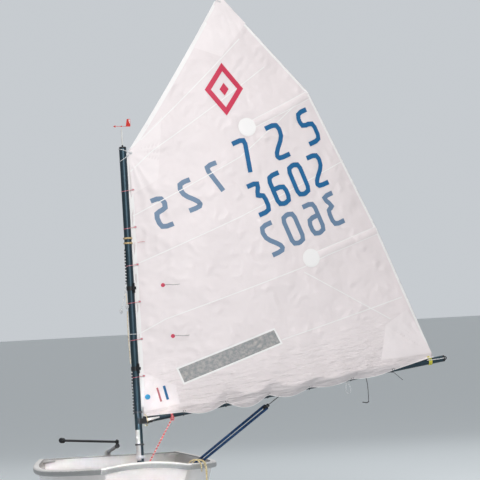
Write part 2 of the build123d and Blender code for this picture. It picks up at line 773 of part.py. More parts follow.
def sail(form):
    """The cloth with a round hole at each eyelet."""
    cloth = form
    slack = EYELET_RADIUS - TIE_DIAMETER / 2 - TIE_EASE
    eyelet = Rot(0, 90, 0) * Cylinder(EYELET_RADIUS, THROUGH)
    for hole in luff_holes(form):
        cloth -= Pos(hole.X, hole.Y + slack, hole.Z) * eyelet
    for hole in foot_holes(form):
        cloth -= Pos(hole.X, hole.Y, hole.Z + slack) * eyelet
    return on_rig(cloth - becket_eyelet(form))


def battens(cloth):
    """Two stiff strips against the leech, each following the cloth."""
    shifted = Pos(CLOTH + FIT_GAP, 0, 0) * cloth
    strips = []
    for row in BATTEN_ROWS:
        luff, leech, camber = sail_row(row / (len(SAIL_ROWS) - 1))
        slope = math.degrees(math.atan2((leech - luff).Z, (leech - luff).Y))
        prism = Box(2 * THROUGH, BATTEN_LENGTH, BATTEN_WIDTH, align=(Align.CENTER, Align.MAX, Align.CENTER))
        prism = Rot(slope - BATTEN_DROOP, 0, 0) * Pos(0, -BATTEN_OFF_LEECH, -BATTEN_DOWN) * prism
        prism = Pos(leech.X, leech.Y, leech.Z) * prism
        strips.append(on_rig(shifted & prism))
    return strips


def loop(post_radius, centre, bend):
    """Closed loop of line round a post on the axis and a bend at a second place."""
    ring = None
    for out in (TIE_DIAMETER / 2, -TIE_DIAMETER / 2):
        post = Circle(post_radius + FIT_GAP + TIE_DIAMETER / 2 + out)
        far = Pos(*centre) * Circle(bend + out)
        outline = make_hull(post.edges() + far.edges())
        ring = outline if ring is None else ring - outline
    return extrude(ring, TIE_DIAMETER / 2, both=True)


def bend_for(hole):
    """Centre of the bend whose far side passes through an eyelet."""
    length = math.hypot(*hole)
    return tuple(value * (length - TIE_BEND) / length for value in hole)


def luff_ties(cloth):
    """Loops that hold the luff to the mast."""
    ties = []
    for hole in luff_holes(cloth):
        tie = loop(MAST_DIAMETER / 2, bend_for((hole.X, hole.Y)), TIE_BEND)
        ties.append(on_rig(Pos(0, 0, hole.Z) * tie))
    return ties


def foot_ties(cloth):
    """Loops that hold the foot and the clew to the boom."""
    ties = []
    for hole in foot_holes(cloth):
        away = hole - Vector(0, 0, BOOM_UP_MAST)
        distance = away.dot(BOOM_WAY)
        up = away.dot(Vector(0, -BOOM_WAY.Z, BOOM_WAY.Y))
        tie = loop(BOOM_DIAMETER / 2, bend_for((hole.X, up)), TIE_BEND)
        ties.append(on_rig(boom_frame(distance).location * tie))
    return ties


def becket_frame():
    """Plane across the sprit's tip pin, X to leeward and Y towards the leech."""
    heel, tip = sprit_ends()
    way = (tip - heel).normalized()
    lee = (Vector(1, 0, 0) - way * way.X).normalized()
    return Plane(origin=tip - way * BECKET_DOWN, x_dir=lee, z_dir=way)


def becket_centre(cloth):
    """Centre of the becket's wide end, in the plane across the tip pin."""
    frame = becket_frame()
    on_cloth = frame.to_local_coords(cloth_at(cloth, frame.origin.Y, frame.origin.Z))
    return on_cloth.X, 0


def becket_eyelet(cloth):
    """Round tool that cuts the peak's eyelet, where the becket goes through the cloth."""
    lee, aside = becket_centre(cloth)
    at = aside + BECKET_RADIUS - EYELET_RADIUS + TIE_DIAMETER / 2 + FIT_GAP
    tool = Pos(lee, at, 0) * Rot(0, 90, 0) * Cylinder(EYELET_RADIUS, TRIM)
    return becket_frame().location * tool


def spar_ties(cloth):
    """Lashing of the sprit's heel to the mast, and the peak's becket round the sprit's tip pin."""
    heel, tip = sprit_ends()
    way = (tip - heel).normalized()
    near = heel + way * (HEEL_PIN + SPRIT_PLUG / 2)
    bend = SPRIT_DIAMETER / 2 + TIE_DIAMETER
    lashing = Pos(0, 0, near.Z) * loop(MAST_DIAMETER / 2, (near.X, near.Y), bend)
    becket = becket_frame().location * loop(SPRIT_PIN_DIAMETER / 2, becket_centre(cloth), BECKET_RADIUS)
    return [on_rig(lashing), on_rig(becket)]


def mast_fittings():
    """Two cleats that the mast's lines make fast to, each on a collar with an upper and a lower horn."""
    radius = MAST_DIAMETER / 2 + FIT_GAP
    horns = Box(HORN_DEPTH, HORN_THICK, HORN_LENGTH)
    foot = Box(CLEAT_FOOT_DEPTH, CLEAT_FOOT_WIDTH, CLEAT_FOOT_LENGTH)
    collar = Cylinder(radius + COLLAR_WALL, COLLAR_HEIGHT)
    cleat = collar + Pos(radius + CLEAT_OUT, 0, 0) * (horns + foot) - Cylinder(radius, THROUGH)
    cleat = Rot(0, 0, CLEAT_TURN) * cleat
    return [on_rig(Pos(0, 0, height) * cleat) for height in (LOWER_CLEAT_UP, UPPER_CLEAT_UP)]


def bevelled(blade, lowest):
    """A flat blade with its edges thinned on both faces, below a height."""
    for face in (blade.faces().sort_by(Axis.Y)[0], blade.faces().sort_by(Axis.Y)[-1]):
        edges = [edge for edge in face.edges() if edge.center().Z < lowest]
        blade = chamfer(edges, BEVEL_ALONG, BEVEL_DEEP, reference=face)
    return blade


def board_outline(width, length, corner):
    """Flat blade with its two lower corners rounded."""
    blade = Rectangle(width, length, align=(Align.CENTER, Align.MAX))
    lower = blade.vertices().sort_by(Axis.Y)[:2]
    return fillet(lower, corner)


def daggerboard():
    """Flat board let down through its case."""
    outline = board_outline(BOARD_WIDTH, BOARD_LENGTH, BOARD_CORNER)
    blade = bevelled(extrude(Plane.XZ * outline, BOARD_THICK / 2, both=True), -BOARD_CORNER)
    return Pos((SLOT_FRONT + SLOT_BACK) / 2, 0, CASE_TOP + BOARD_ABOVE_CASE) * blade


def board_handle():
    """Two strips across the board's head that stop it on the case."""
    strips = []
    for side in (-1, 1):
        strip = Box(SLOT_FRONT - SLOT_BACK - HANDLE_SHORTER, HANDLE_THICK, HANDLE_HEIGHT,
                    align=STANDING)
        strip = fillet(strip.edges().filter_by(Axis.X), HANDLE_ROUND)
        y = side * (BOARD_THICK / 2 + HANDLE_THICK / 2)
        strips.append(Pos((SLOT_FRONT + SLOT_BACK) / 2, y, CASE_TOP + FIT_GAP) * strip)
    return strips


def daggerboard_case(space):
    """Narrow well from the floor up, round the board, with a lip at its top."""
    length = SLOT_FRONT - SLOT_BACK
    long, wide = length + 2 * CASE_WALL, SLOT_WIDTH + 2 * CASE_WALL
    outer = Box(long, wide, THROUGH, align=HUNG)
    outer = fillet(outer.edges().filter_by(Axis.Z), CASE_ROUND)
    lip = Box(long + 2 * LIP_OUT, wide + 2 * LIP_OUT, LIP_HEIGHT, align=HUNG)
    lip = fillet(lip.edges().filter_by(Axis.Z), CASE_ROUND)
    place = Pos((SLOT_FRONT + SLOT_BACK) / 2, 0, CASE_TOP)
    return (place * (outer + lip) & space) - place * Box(length, SLOT_WIDTH, 2 * THROUGH)


def midship_frame(space):
    """Web across the hull behind the case, cut out on each side, with a plank on top."""
    half, sheer = station_at(FRAME_X)
    low_half, low = station_at(FRAME_X, top=False)
    top = sheer - FRAME_TOP_BELOW_SHEER
    web = Box(FRAME_THICK, 2 * half, top - low, align=HUNG)
    plank = Box(FRAME_BEAM, 2 * half, PLANK_THICK, align=(Align.MAX, Align.CENTER, Align.MAX))
    web = Pos(FRAME_X, 0, top) * (web + Pos(FRAME_THICK / 2, 0, 0) * plank)
    wide = low_half - CUTOUT_FROM_MIDDLE - CUTOUT_FROM_SIDE
    high = top - low - CUTOUT_FROM_FLOOR - CUTOUT_FROM_TOP
    hole = Rectangle(wide, high)
    hole = fillet(hole.vertices(), CUTOUT_ROUND)
    hole = extrude(Plane.YZ * hole, THROUGH, both=True)
    for side in (-1, 1):
        web -= Pos(0, side * (CUTOUT_FROM_MIDDLE + wide / 2), low + CUTOUT_FROM_FLOOR + high / 2) * hole
    return web & space


def stern_knees(space):
    """Corner knees that tie the transom to the sides, under the gunwale."""
    x, half, z = STATIONS[-1][:3]
    inner = x + SKIN
    knees = []
    for side in (-1, 1):
        plate = Polyline((inner - TRIM, side * (half + TRIM)), (inner + KNEE_ALONG, side * (half + TRIM)),
                         (inner - TRIM, side * (half - KNEE_ACROSS)), close=True)
        plate = extrude(make_face(plate), KNEE_THICK)
        knees.append(Pos(0, 0, z - KNEE_BELOW_SHEER) * plate & space)
    return knees


def capsule(length, radius, end):
    """Blown-up bag along X: a round body with soft tapered ends."""
    half = length / 2
    tip, shoulder = radius * BAG_TIP_SHARE, radius * BAG_SHOULDER_SHARE
    shoulder_x = half - end * BAG_SHOULDER_AT
    edges = [
        Line((-half, 0), (-half, tip)),
        ThreePointArc((-half, tip), (-shoulder_x, shoulder), (end - half, radius)),
        Line((end - half, radius), (half - end, radius)),
        ThreePointArc((half - end, radius), (shoulder_x, shoulder), (half, tip)),
        Line((half, tip), (half, 0)),
        Line((half, 0), (-half, 0)),
    ]
    return revolve(make_face([edge.edge() for edge in edges]), Axis.X)


def side_bag_place(side):
    """Frame of a side bag: X along it, beside the hull's side and over the floor."""
    ends = []
    for x in (SIDE_BAG_FRONT - SIDE_BAG_LENGTH, SIDE_BAG_FRONT):
        low_half, low = station_at(x, top=False)
        y = side * (low_half - BAG_RADIUS + BAG_INBOARD)
        ends.append(Vector(x, y, low + SKIN + BAG_RADIUS + BAG_LIFT))
    way = (ends[1] - ends[0]).normalized()
    return Plane(origin=(ends[0] + ends[1]) * 0.5, x_dir=way, z_dir=way.cross(Vector(0, 1, 0))).location


def stern_bag_place():
    """Frame of the stern bag: across the hull, ahead of the transom."""
    low_half, low = station_at(STERN_BAG_X + BAG_RADIUS, top=False)
    return Pos(STERN_BAG_X, 0, low + SKIN + BAG_RADIUS + STERN_BAG_LIFT) * Rot(0, 0, 90)


def bag_straps(space):
    """Bands that hold each bag down, with a foot to the floor."""
    bands = []
    places = [(side_bag_place(side), offset) for side in (-1, 1) for offset in SIDE_STRAPS]
    places += [(stern_bag_place(), offset) for offset in STERN_STRAPS]
    inner = BAG_RADIUS + FIT_GAP
    for place, offset in places:
        band = Cylinder(inner + STRAP_THICK, STRAP_WIDTH)
        foot = Box(STRAP_FOOT, STRAP_THICK * 3, STRAP_WIDTH, align=(Align.MIN, Align.CENTER, Align.CENTER))
        band = Rot(0, 90, 0) * (band + foot) - Rot(0, 90, 0) * Cylinder(inner, STRAP_WIDTH)
        bands.append((place * Pos(offset, 0, 0) * band) & space)
    return bands


def floor_z(x):
    """Height of the floor inside the hull."""
    return station_at(x, top=False)[1] + SKIN


def toe_straps(space):
    """Two webbing straps over the floor, from the frame to the floor ahead of the stern bag."""
    straps = []
    front = FRAME_X - FRAME_THICK / 2 - FIT_GAP
    back = STERN_BAG_X + BAG_RADIUS + TOE_STRAP_CLEAR
    front_top, back_top = floor_z(front) + TOE_STRAP_UP, floor_z(back) + TOE_STRAP_UP
    centre = FilletPolyline(
        (front + TOE_STRAP_TRIM, 0, front_top - TOE_STRAP_DIP),
        (front - TOE_STRAP_DIP_RUN, 0, front_top),
        (back + TOE_STRAP_DROP_RUN, 0, back_top),
        (back, 0, floor_z(back) - TOE_STRAP_TRIM),
        radius=TOE_STRAP_BEND,
    )
    profile = Plane(origin=centre @ 0, x_dir=(0, 1, 0), z_dir=centre % 0)
    strap = sweep(profile * Rectangle(TOE_STRAP_WIDTH, TOE_STRAP_THICK), path=centre)
    strap = split(strap, bisect_by=Plane((front, 0, 0), z_dir=(1, 0, 0)), keep=Keep.BOTTOM)
    for side in (-1, 1):
        straps.append(Pos(0, side * TOE_STRAP_APART / 2, 0) * strap & space)
    return straps


def hinge_plane():
    """Frame on the middle of the rudder's hinge line: X forward, Z up along it."""
    stern = STATIONS[-1]
    up = Vector(stern[SHEER_X] - stern[BOTTOM_X], 0, stern[SHEER_Z] - stern[BOTTOM_Z]).normalized()
    forward = Vector(up.Z, 0, -up.X)
    share = (HINGE_MIDDLE_Z - stern[BOTTOM_Z]) / (stern[SHEER_Z] - stern[BOTTOM_Z])
    on_face = Vector(along(stern[BOTTOM_X], stern[SHEER_X], share), 0, HINGE_MIDDLE_Z)
    return Plane(origin=on_face - forward * HINGE_BEHIND, x_dir=forward, z_dir=up)


HINGE = hinge_plane()


def on_hinge(shape):
    """A shape drawn in the rudder hinge's frame, set in the boat's."""
    return HINGE.location * shape


def gudgeon(height):
    """Plate on the transom with the barrel that a pintle turns in."""
    reach = HINGE_BEHIND - FIT_GAP
    plate = Pos(reach - PLATE_THICK / 2, 0, 0) * Box(PLATE_THICK, PLATE_WIDTH, PLATE_HEIGHT)
    plate = fillet(plate.edges().filter_by(Axis.X), PLATE_ROUND)
    web = Pos(reach / 2, 0, 0) * Box(reach - PLATE_THICK / 2, WEB_THICK, BARREL_LENGTH)
    barrel = Cylinder(BARREL_DIAMETER / 2, BARREL_LENGTH)
    bore = Cylinder(PIN_DIAMETER / 2 + PIN_PLAY, BARREL_LENGTH)
    return on_hinge(Pos(0, 0, height) * (plate + web + barrel - bore))


def pintles():
    """Straps on the rudder head, each with an arm over its gudgeon and a pin down through it."""
    pieces = []
    side = BLADE_THICK / 2 + CHEEK_THICK
    for height in (-GUDGEON_SPREAD / 2, GUDGEON_SPREAD / 2):
        base = height + BARREL_LENGTH / 2 + FIT_GAP
        arm = Box(ARM_LENGTH, 2 * (side + PINTLE_STRAP_THICK), ARM_THICK,
                  align=(Align.MAX, Align.CENTER, Align.MIN))
        piece = Pos(ARM_AHEAD, 0, base) * fillet(arm.edges().filter_by(Axis.Z), ARM_ROUND)
        pin = Cylinder(PIN_DIAMETER / 2, PIN_TUCK + BARREL_LENGTH + PIN_BELOW,
                       align=HUNG)
        piece += Pos(0, 0, base + PIN_TUCK) * pin
        strap = Box(PINTLE_STRAP_LENGTH, PINTLE_STRAP_THICK, PINTLE_STRAP_HEIGHT,
                    align=(Align.MAX, Align.CENTER, Align.MIN))
        for way in (-1, 1):
            y = way * (side + FIT_GAP + PINTLE_STRAP_THICK / 2)
            piece += Pos(-PINTLE_STRAP_BACK, y, base - PINTLE_STRAP_DROP) * strap
        pieces.append(on_hinge(piece))
    return pieces


def rudder_blade():
    """Flat blade below the head, deepest aft of its middle, with thinned edges."""
    outline = make_face(Polyline(*BLADE_OUTLINE, close=True))
    lower = outline.vertices().sort_by(Axis.Y)[:BLADE_ROUNDED]
    outline = fillet(lower, BLADE_ROUND)
    return on_hinge(bevelled(extrude(Plane.XZ * outline, BLADE_THICK / 2, both=True), 0))


def rudder_head():
    """Two cheeks that hold the blade, closed at the top by the tiller's socket."""
    half = BLADE_THICK / 2
    outline = make_face(Polyline(*HEAD_OUTLINE, close=True))
    outline = fillet(outline.vertices(), HEAD_ROUND)
    head = extrude(Plane.XZ * outline, half + CHEEK_THICK, both=True)
    slot = Box(THROUGH, BLADE_THICK + FIT_GAP, THROUGH, align=HUNG)
    head -= Pos(0, 0, BLADE_TOP + FIT_GAP) * slot
    socket = rod((TILLER_BACK, 0, TILLER_UP), (TILLER_SOCKET_FRONT, 0, TILLER_UP), TILLER_SOCKET_DIAMETER / 2)
    bore = rod((TILLER_BACK - TRIM, 0, TILLER_UP), (0, 0, TILLER_UP), TILLER_DIAMETER / 2 + FIT_GAP)
    return on_hinge(head + socket - bore)


def tiller():
    """Round bar forward from the rudder head."""
    end = TILLER_BACK + TILLER_LENGTH
    return on_hinge(rod((TILLER_BACK, 0, TILLER_UP), (end, 0, TILLER_UP), TILLER_DIAMETER / 2))


def joint_x():
    """Place of the extension's pivot along the tiller."""
    return TILLER_BACK + TILLER_LENGTH - EXTENSION_FROM_END


def tiller_joint():
    """Saddle on the tiller's end with the pin of the extension."""
    radius = TILLER_DIAMETER / 2 + FIT_GAP
    back, front = (joint_x() + way * SADDLE_LENGTH / 2 for way in (-1, 1))
    collar = rod((back, 0, TILLER_UP), (front, 0, TILLER_UP), radius + SADDLE_WALL)
    seat = EXTENSION_RISE - PIVOT_EYE_HEIGHT / 2 - FIT_GAP
    post = Cylinder(POST_RADIUS, seat, align=STANDING)
    pin = Cylinder(PIVOT_RADIUS, seat + PIVOT_EYE_HEIGHT + PIVOT_ABOVE, align=STANDING)
    body = collar + Pos(joint_x(), 0, TILLER_UP) * (post + pin)
    return on_hinge(body - rod((back, 0, TILLER_UP), (front, 0, TILLER_UP), radius))


def extension_parts():
    """Tube, end fitting and grip of the tiller extension."""
    place = Pos(joint_x(), 0, TILLER_UP + EXTENSION_RISE) * Rot(0, 0, EXTENSION_AT_REST)
    eye = Cylinder(PIVOT_EYE_RADIUS, PIVOT_EYE_HEIGHT) + rod((0, 0, 0), (STEM_LENGTH, 0, 0), STEM_RADIUS)
    eye -= Cylinder(PIVOT_RADIUS + PIN_PLAY, PIVOT_EYE_HEIGHT)
    tube = rod((STEM_LENGTH, 0, 0), (EXTENSION_LENGTH, 0, 0), EXTENSION_DIAMETER / 2)
    knob = Cylinder(EXTENSION_DIAMETER / 2 + KNOB_WALL, KNOB_LENGTH, align=STANDING)
    knob = chamfer(knob.edges().sort_by(Axis.Z)[-1], KNOB_BEVEL_ALONG, KNOB_BEVEL_IN)
    knob = Pos(EXTENSION_LENGTH, 0, 0) * Rot(0, 90, 0) * knob
    return on_hinge(place * eye), on_hinge(place * tube), on_hinge(place * knob)


def block(radius):
    """Sheave block hung by its head at the origin, its wheel below, turning about Y."""
    depth = radius + BLOCK_HEAD
    wide = BLOCK_GAP + 2 * BLOCK_CHEEK
    across = Pos(0, 0, -depth) * Rot(90, 0, 0)
    shell = across * Cylinder(AXLE_RADIUS, wide)
    shell += Pos(0, 0, -CROWN_DOWN) * Box(BLOCK_STRAP_WIDTH, wide, CROWN_HEIGHT, align=HUNG)
    for side in (-1, 1):
        middle = side * (BLOCK_GAP + BLOCK_CHEEK) / 2
        shell += across * Pos(0, 0, middle) * Cylinder(radius, BLOCK_CHEEK)
        shell += Pos(0, middle, -CROWN_DOWN) * Box(BLOCK_STRAP_WIDTH, BLOCK_CHEEK, depth, align=HUNG)
    wheel = Cylinder(radius - WHEEL_SMALLER, BLOCK_GAP - 2 * WHEEL_PLAY)
    wheel -= Cylinder(AXLE_RADIUS + FIT_GAP, BLOCK_GAP)
    wheel -= Torus(radius - WHEEL_SMALLER + GROOVE_OUT, GROOVE_RADIUS)
    return shell, across * wheel


def ratchet_point():
    """Where the lower block's foot stands."""
    return Vector(RATCHET_X, 0, floor_z(RATCHET_X))


def sheet_way():
    """Point on the boom where the bridle holds, and the way its line pulls."""
    start = boom_point(SHEET_POINT)
    target = RIG.to_local_coords(ratchet_point() + Vector(0, 0, RATCHET_UP))
    return start, (target - start).normalized()


def bridle_parts():
    """Band round the boom with its line, and the block that the line carries."""
    start, way = sheet_way()
    inner = BOOM_DIAMETER / 2 + FIT_GAP
    place = boom_frame(SHEET_POINT).location
    band = place * Cylinder(inner + BAND_THICK, BAND_WIDTH)
    line = rod(start, start + way * BRIDLE_LENGTH, BRIDLE_DIAMETER / 2)
    bridle = band + line - place * Cylinder(inner, THROUGH)
    head = Plane(origin=start + way * BRIDLE_LENGTH, z_dir=way * -1)
    return on_rig(bridle), [on_rig(head.location * shape) for shape in block(BLOCK_RADIUS)]


def ratchet_parts(space):
    """Foot on the floor and the block that stands on it."""
    foot = ratchet_point()
    base = Box(RATCHET_FOOT_LENGTH, RATCHET_FOOT_WIDTH, TRIM, align=HUNG)
    base = fillet(base.edges().filter_by(Axis.Z), RATCHET_FOOT_ROUND)
    post = Cylinder(RATCHET_POST_RADIUS, RATCHET_POST_HEIGHT, align=STANDING)
    base = Pos(foot.X, 0, foot.Z + RATCHET_FOOT_RISE) * (base + post) & space
    seat = foot.Z + RATCHET_FOOT_RISE + RATCHET_POST_HEIGHT - CROWN_DOWN + FIT_GAP
    return base, [Pos(foot.X, 0, seat) * Rot(180, 0, 0) * shape for shape in block(RATCHET_RADIUS)]


def painter_radii():
    """Radius of each bend of the painter's route."""
    points = [Vector(*point) for point in PAINTER_POINTS]
    radii = []
    for before, point, after in zip(points, points[1:], points[2:]):
        first, second = point - before, after - point
        turn = math.radians(first.get_angle(second))
        radii.append(BEND_SHARE * min(first.length, second.length) / math.tan(turn / 2))
    return radii


def painter_line():
    """Loose stretch of the painter."""
    radii = painter_radii()
    print("painter bends", round(min(radii)), "to", round(max(radii)), "mm")
    path = FilletPolyline(*PAINTER_POINTS, radius=radii)
    print("painter length", round(path.length), "mm")
    profile = Plane(origin=path @ 0, z_dir=path % 0) * Circle(PAINTER_DIAMETER / 2)
    return sweep(profile, path=path)


def painter_coil():
    """Neat coil of the painter's spare length, lying on the floor at the bow."""
    x, y = COIL_CENTRE
    section = RegularPolygon(COIL_THICK, COIL_SIDES, major_radius=False, rotation=180 / COIL_SIDES)
    ring = revolve(Plane.XZ * Pos(COIL_RADIUS, 0) * section, Axis.Z)
    slope = math.degrees(math.atan2(STATIONS[0][BOTTOM_Z] - STATIONS[1][BOTTOM_Z],
                                    STATIONS[0][BOTTOM_X] - STATIONS[1][BOTTOM_X]))
    return Pos(x, y, floor_z(x) + COIL_THICK + COIL_LIFT) * Rot(0, -slope, 0) * ring


def save(name, shapes):
    """Write one sub-part, made of one solid or of several that don't touch."""
    shapes = shapes if isinstance(shapes, (list, tuple)) else [shapes]
    solids = [solid for shape in shapes for solid in shape.solids()]
    whole = solids[0] if len(solids) == 1 else Compound(solids)
    whole.label = name
    export_step(whole, f"parts/{name}.step")


def main():
    """Build every sub-part and write its file."""
    os.makedirs("parts", exist_ok=True)
    space = inside()
    grown = hull_form(-FIT_GAP, FIT_GAP)
    port, starboard = gunwale_side(1, grown), gunwale_side(-1, grown)
    cloth = sail_form()
    save("hull_shell", hull_shell())
    save("gunwale_port", port)
    save("gunwale_starboard", starboard)
    save("gunwale_bow", gunwale_end(STATIONS[0], BOW_CROWN, port + starboard, grown))
    save("gunwale_stern", gunwale_end(STATIONS[-1], 0.0, port + starboard, grown))
    save("mast_thwart", mast_thwart(space))
    save("mast_step", mast_step(space))
    save("daggerboard_case", daggerboard_case(space))
    save("midship_frame", midship_frame(space))
    save("stern_knees", stern_knees(space))
    save("air_bag_port", side_bag_place(1) * capsule(SIDE_BAG_LENGTH, BAG_RADIUS, BAG_END))
    save("air_bag_starboard", side_bag_place(-1) * capsule(SIDE_BAG_LENGTH, BAG_RADIUS, BAG_END))
    save("air_bag_stern", stern_bag_place() * capsule(STERN_BAG_LENGTH, BAG_RADIUS, BAG_END))
    save("bag_straps", bag_straps(space))
    save("toe_straps", toe_straps(space))
    save("gudgeon_upper", gudgeon(GUDGEON_SPREAD / 2))
    save("gudgeon_lower", gudgeon(-GUDGEON_SPREAD / 2))
    base, lower_block = ratchet_parts(space)
    save("ratchet_base", base)
    save("ratchet_block", lower_block)
    save("painter_line", painter_line())
    save("painter_coil", painter_coil())
    save("mast", mast())
    save("masthead_plug", masthead_plug())
    save("vane_staff", vane_staff())
    save("wind_vane", wind_vane())
    save("mast_fittings", mast_fittings())
    save("boom", boom())
    save("boom_jaws", boom_jaws())
    save("boom_end_cap", boom_end_cap())
    save("sprit", sprit())
    save("sprit_fittings", sprit_fittings())
    save("sail", sail(cloth))
    save("battens", battens(cloth))
    save("luff_ties", luff_ties(cloth))
    save("foot_ties", foot_ties(cloth))
    save("spar_ties", spar_ties(cloth))
    bridle, upper_block = bridle_parts()
    save("boom_bridle", bridle)
    save("bridle_block", upper_block)
    save("daggerboard", daggerboard())
    save("board_handle", board_handle())
    save("rudder_blade", rudder_blade())
    save("rudder_head", rudder_head())
    save("pintles", pintles())
    save("tiller", tiller())
    save("tiller_joint", tiller_joint())
    eye, tube, knob = extension_parts()
    save("extension_eye", eye)
    save("extension_tube", tube)
    save("extension_knob", knob)
    print("mast", RIG.origin, RIG.z_dir)
    print("hinge", HINGE.origin, HINGE.z_dir)
    pivot = HINGE.from_local_coords(Vector(joint_x(), 0, TILLER_UP + EXTENSION_RISE))
    print("extension", pivot)


main()
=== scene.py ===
# Looks of the junior sailing dinghy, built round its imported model. Metres, in the model's own frame.
import json
import math

import bmesh
import bpy
import numpy as np
from mathutils import Matrix, Quaternion, Vector
from mathutils.geometry import convex_hull_2d, tessellate_polygon


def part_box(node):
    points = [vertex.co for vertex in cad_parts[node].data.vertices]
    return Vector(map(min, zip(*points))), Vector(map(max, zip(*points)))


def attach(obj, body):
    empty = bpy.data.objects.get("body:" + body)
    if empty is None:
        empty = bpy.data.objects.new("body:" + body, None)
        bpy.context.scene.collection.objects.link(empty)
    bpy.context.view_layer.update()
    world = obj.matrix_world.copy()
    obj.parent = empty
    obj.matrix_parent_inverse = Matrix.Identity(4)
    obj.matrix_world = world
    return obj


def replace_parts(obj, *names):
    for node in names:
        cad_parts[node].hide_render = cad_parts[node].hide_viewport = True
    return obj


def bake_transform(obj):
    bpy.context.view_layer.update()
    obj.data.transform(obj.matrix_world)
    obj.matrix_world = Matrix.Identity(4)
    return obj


# Camera, in the photograph's frame of 480 x 480 pixels.
CAMERA_DISTANCE = 30.0
CAMERA_AZIMUTH = math.radians(5.678)
CAMERA_HEIGHT = 1.196
CAMERA_PITCH = math.radians(0.910)
CAMERA_ROLL = math.radians(-3.124)
CAMERA_YAW = math.radians(1.505)
FOCAL_PIXELS = 4747.4
FRAME_PIXELS = 480
SENSOR = 36.0

# Rig: the boom's side, its rise and where it meets the mast, and the spars' sizes.
BOOM_OUT = math.radians(78.0)
BOOM_RISE = math.radians(8.15)
BOOM_UP_MAST = 0.526
MAST_LENGTH = 2.208
MAST_RADIUS = 0.0225
BOOM_RADIUS = 0.02

# Sail, measured from its tack: how far up the luff a section starts, how far out and up
# it ends at the leech, and its camber.
TACK_OUT = 0.035
TACK_UP_MAST = 0.563
SAIL_ROWS = [
    (0.0, 1.959, 0.291, 0.040),
    (0.541, 1.641, 1.084, 0.150),
    (1.082, 1.236, 1.958, 0.130),
    (1.622, 0.686, 2.580, 0.045),
]
LUFF = SAIL_ROWS[-1][0]
LUFF_EDGE = 0.0255
CLOTH_BACK = 0.0025
CLOTH_THICK = 0.0008
SAIL_ACROSS = 150
SAIL_UP = 112
SAIL_CROWD = 1.3
SHELF_ROWS = 14

# Foot, tie by tie: its place out from the mast, how high over the boom's axis the cloth's edge is
# held there, how far the edge hangs before the next tie, and how far the fold rises there.
FOOT_BAYS = [
    (0.035, 0.024, 0.000, 0.000),
    (0.290, 0.002, 0.034, 0.020),
    (0.568, 0.008, 0.054, 0.078),
    (0.846, 0.002, 0.036, 0.050),
    (1.124, -0.005, 0.020, 0.024),
    (1.402, -0.009, 0.014, 0.012),
    (1.680, -0.008, 0.000, 0.006),
    (1.929, 0.022, 0.000, 0.000),
]
FOLD_UP = 0.026
FOLD_WIDE = 0.075
FOOT_FULL = 0.084
BOOM_FACE = BOOM_RADIUS + 0.004

# Creases that fan out from the sail's corners, past their stiff patches.
CORNERS = {
    "tack": (TACK_OUT, 0.0),
    "clew": (SAIL_ROWS[0][1], SAIL_ROWS[0][2]),
    "throat": (TACK_OUT, LUFF),
    "peak": (SAIL_ROWS[-1][1], SAIL_ROWS[-1][2]),
}
CREASES = [  # corner, creases in a radian, reach, height
    ("throat", 10.0, 0.26, 0.0085),
    ("clew", 16.0, 0.30, 0.0060),
    ("peak", 12.0, 0.24, 0.0050),
    ("tack", 11.0, 0.18, 0.0045),
]

# Ties: their places up the luff and out along the foot, and their eyelets.
LUFF_TIES = [0.236 + 0.227 * index for index in range(6)] + [LUFF - 0.03]
FOOT_TIES = [bay[0] for bay in FOOT_BAYS[1:]]
LUFF_EYELET_OUT = 0.016
FOOT_EYELET_UP = 0.009
EYELET_TUBE = 0.0022
LUFF_TIE_BEND = 0.009
FOOT_TIE_BEND = 0.005
TIE_GAP = 0.0024

# Mainsheet: its width, its two parts' places beside each block's middle, and the swings of the
# rig, in degrees, at which its tubes stand square.
SHEET_DIAMETER = 0.0165
SHEET_APART = (0.0084, 0.0112)
SHEET_SWINGS = (0, 56, 112, 168)
SHEET_SIDES = 14

# Soft gear in the hull.
BAG_RADIUS = 0.095
BAG_SKIN = BAG_RADIUS - 0.002
BAG_END = 0.115
SIDE_STRAPS = (-0.230, 0.0, 0.230)
STERN_STRAPS = (-0.190, 0.190)
STRAP_WIDTH = 0.040
STRAP_FEET = {"air_bag_port": 0.012, "air_bag_starboard": 0.012, "air_bag_stern": 0.027}
TOE_STRAP_ROUTE = [(-0.005, -0.068), (-0.065, -0.038), (-0.770, 0.020), (-0.880, -0.055)]
TOE_STRAP_OUT = 0.075
TOE_STRAP_WIDTH = 0.050

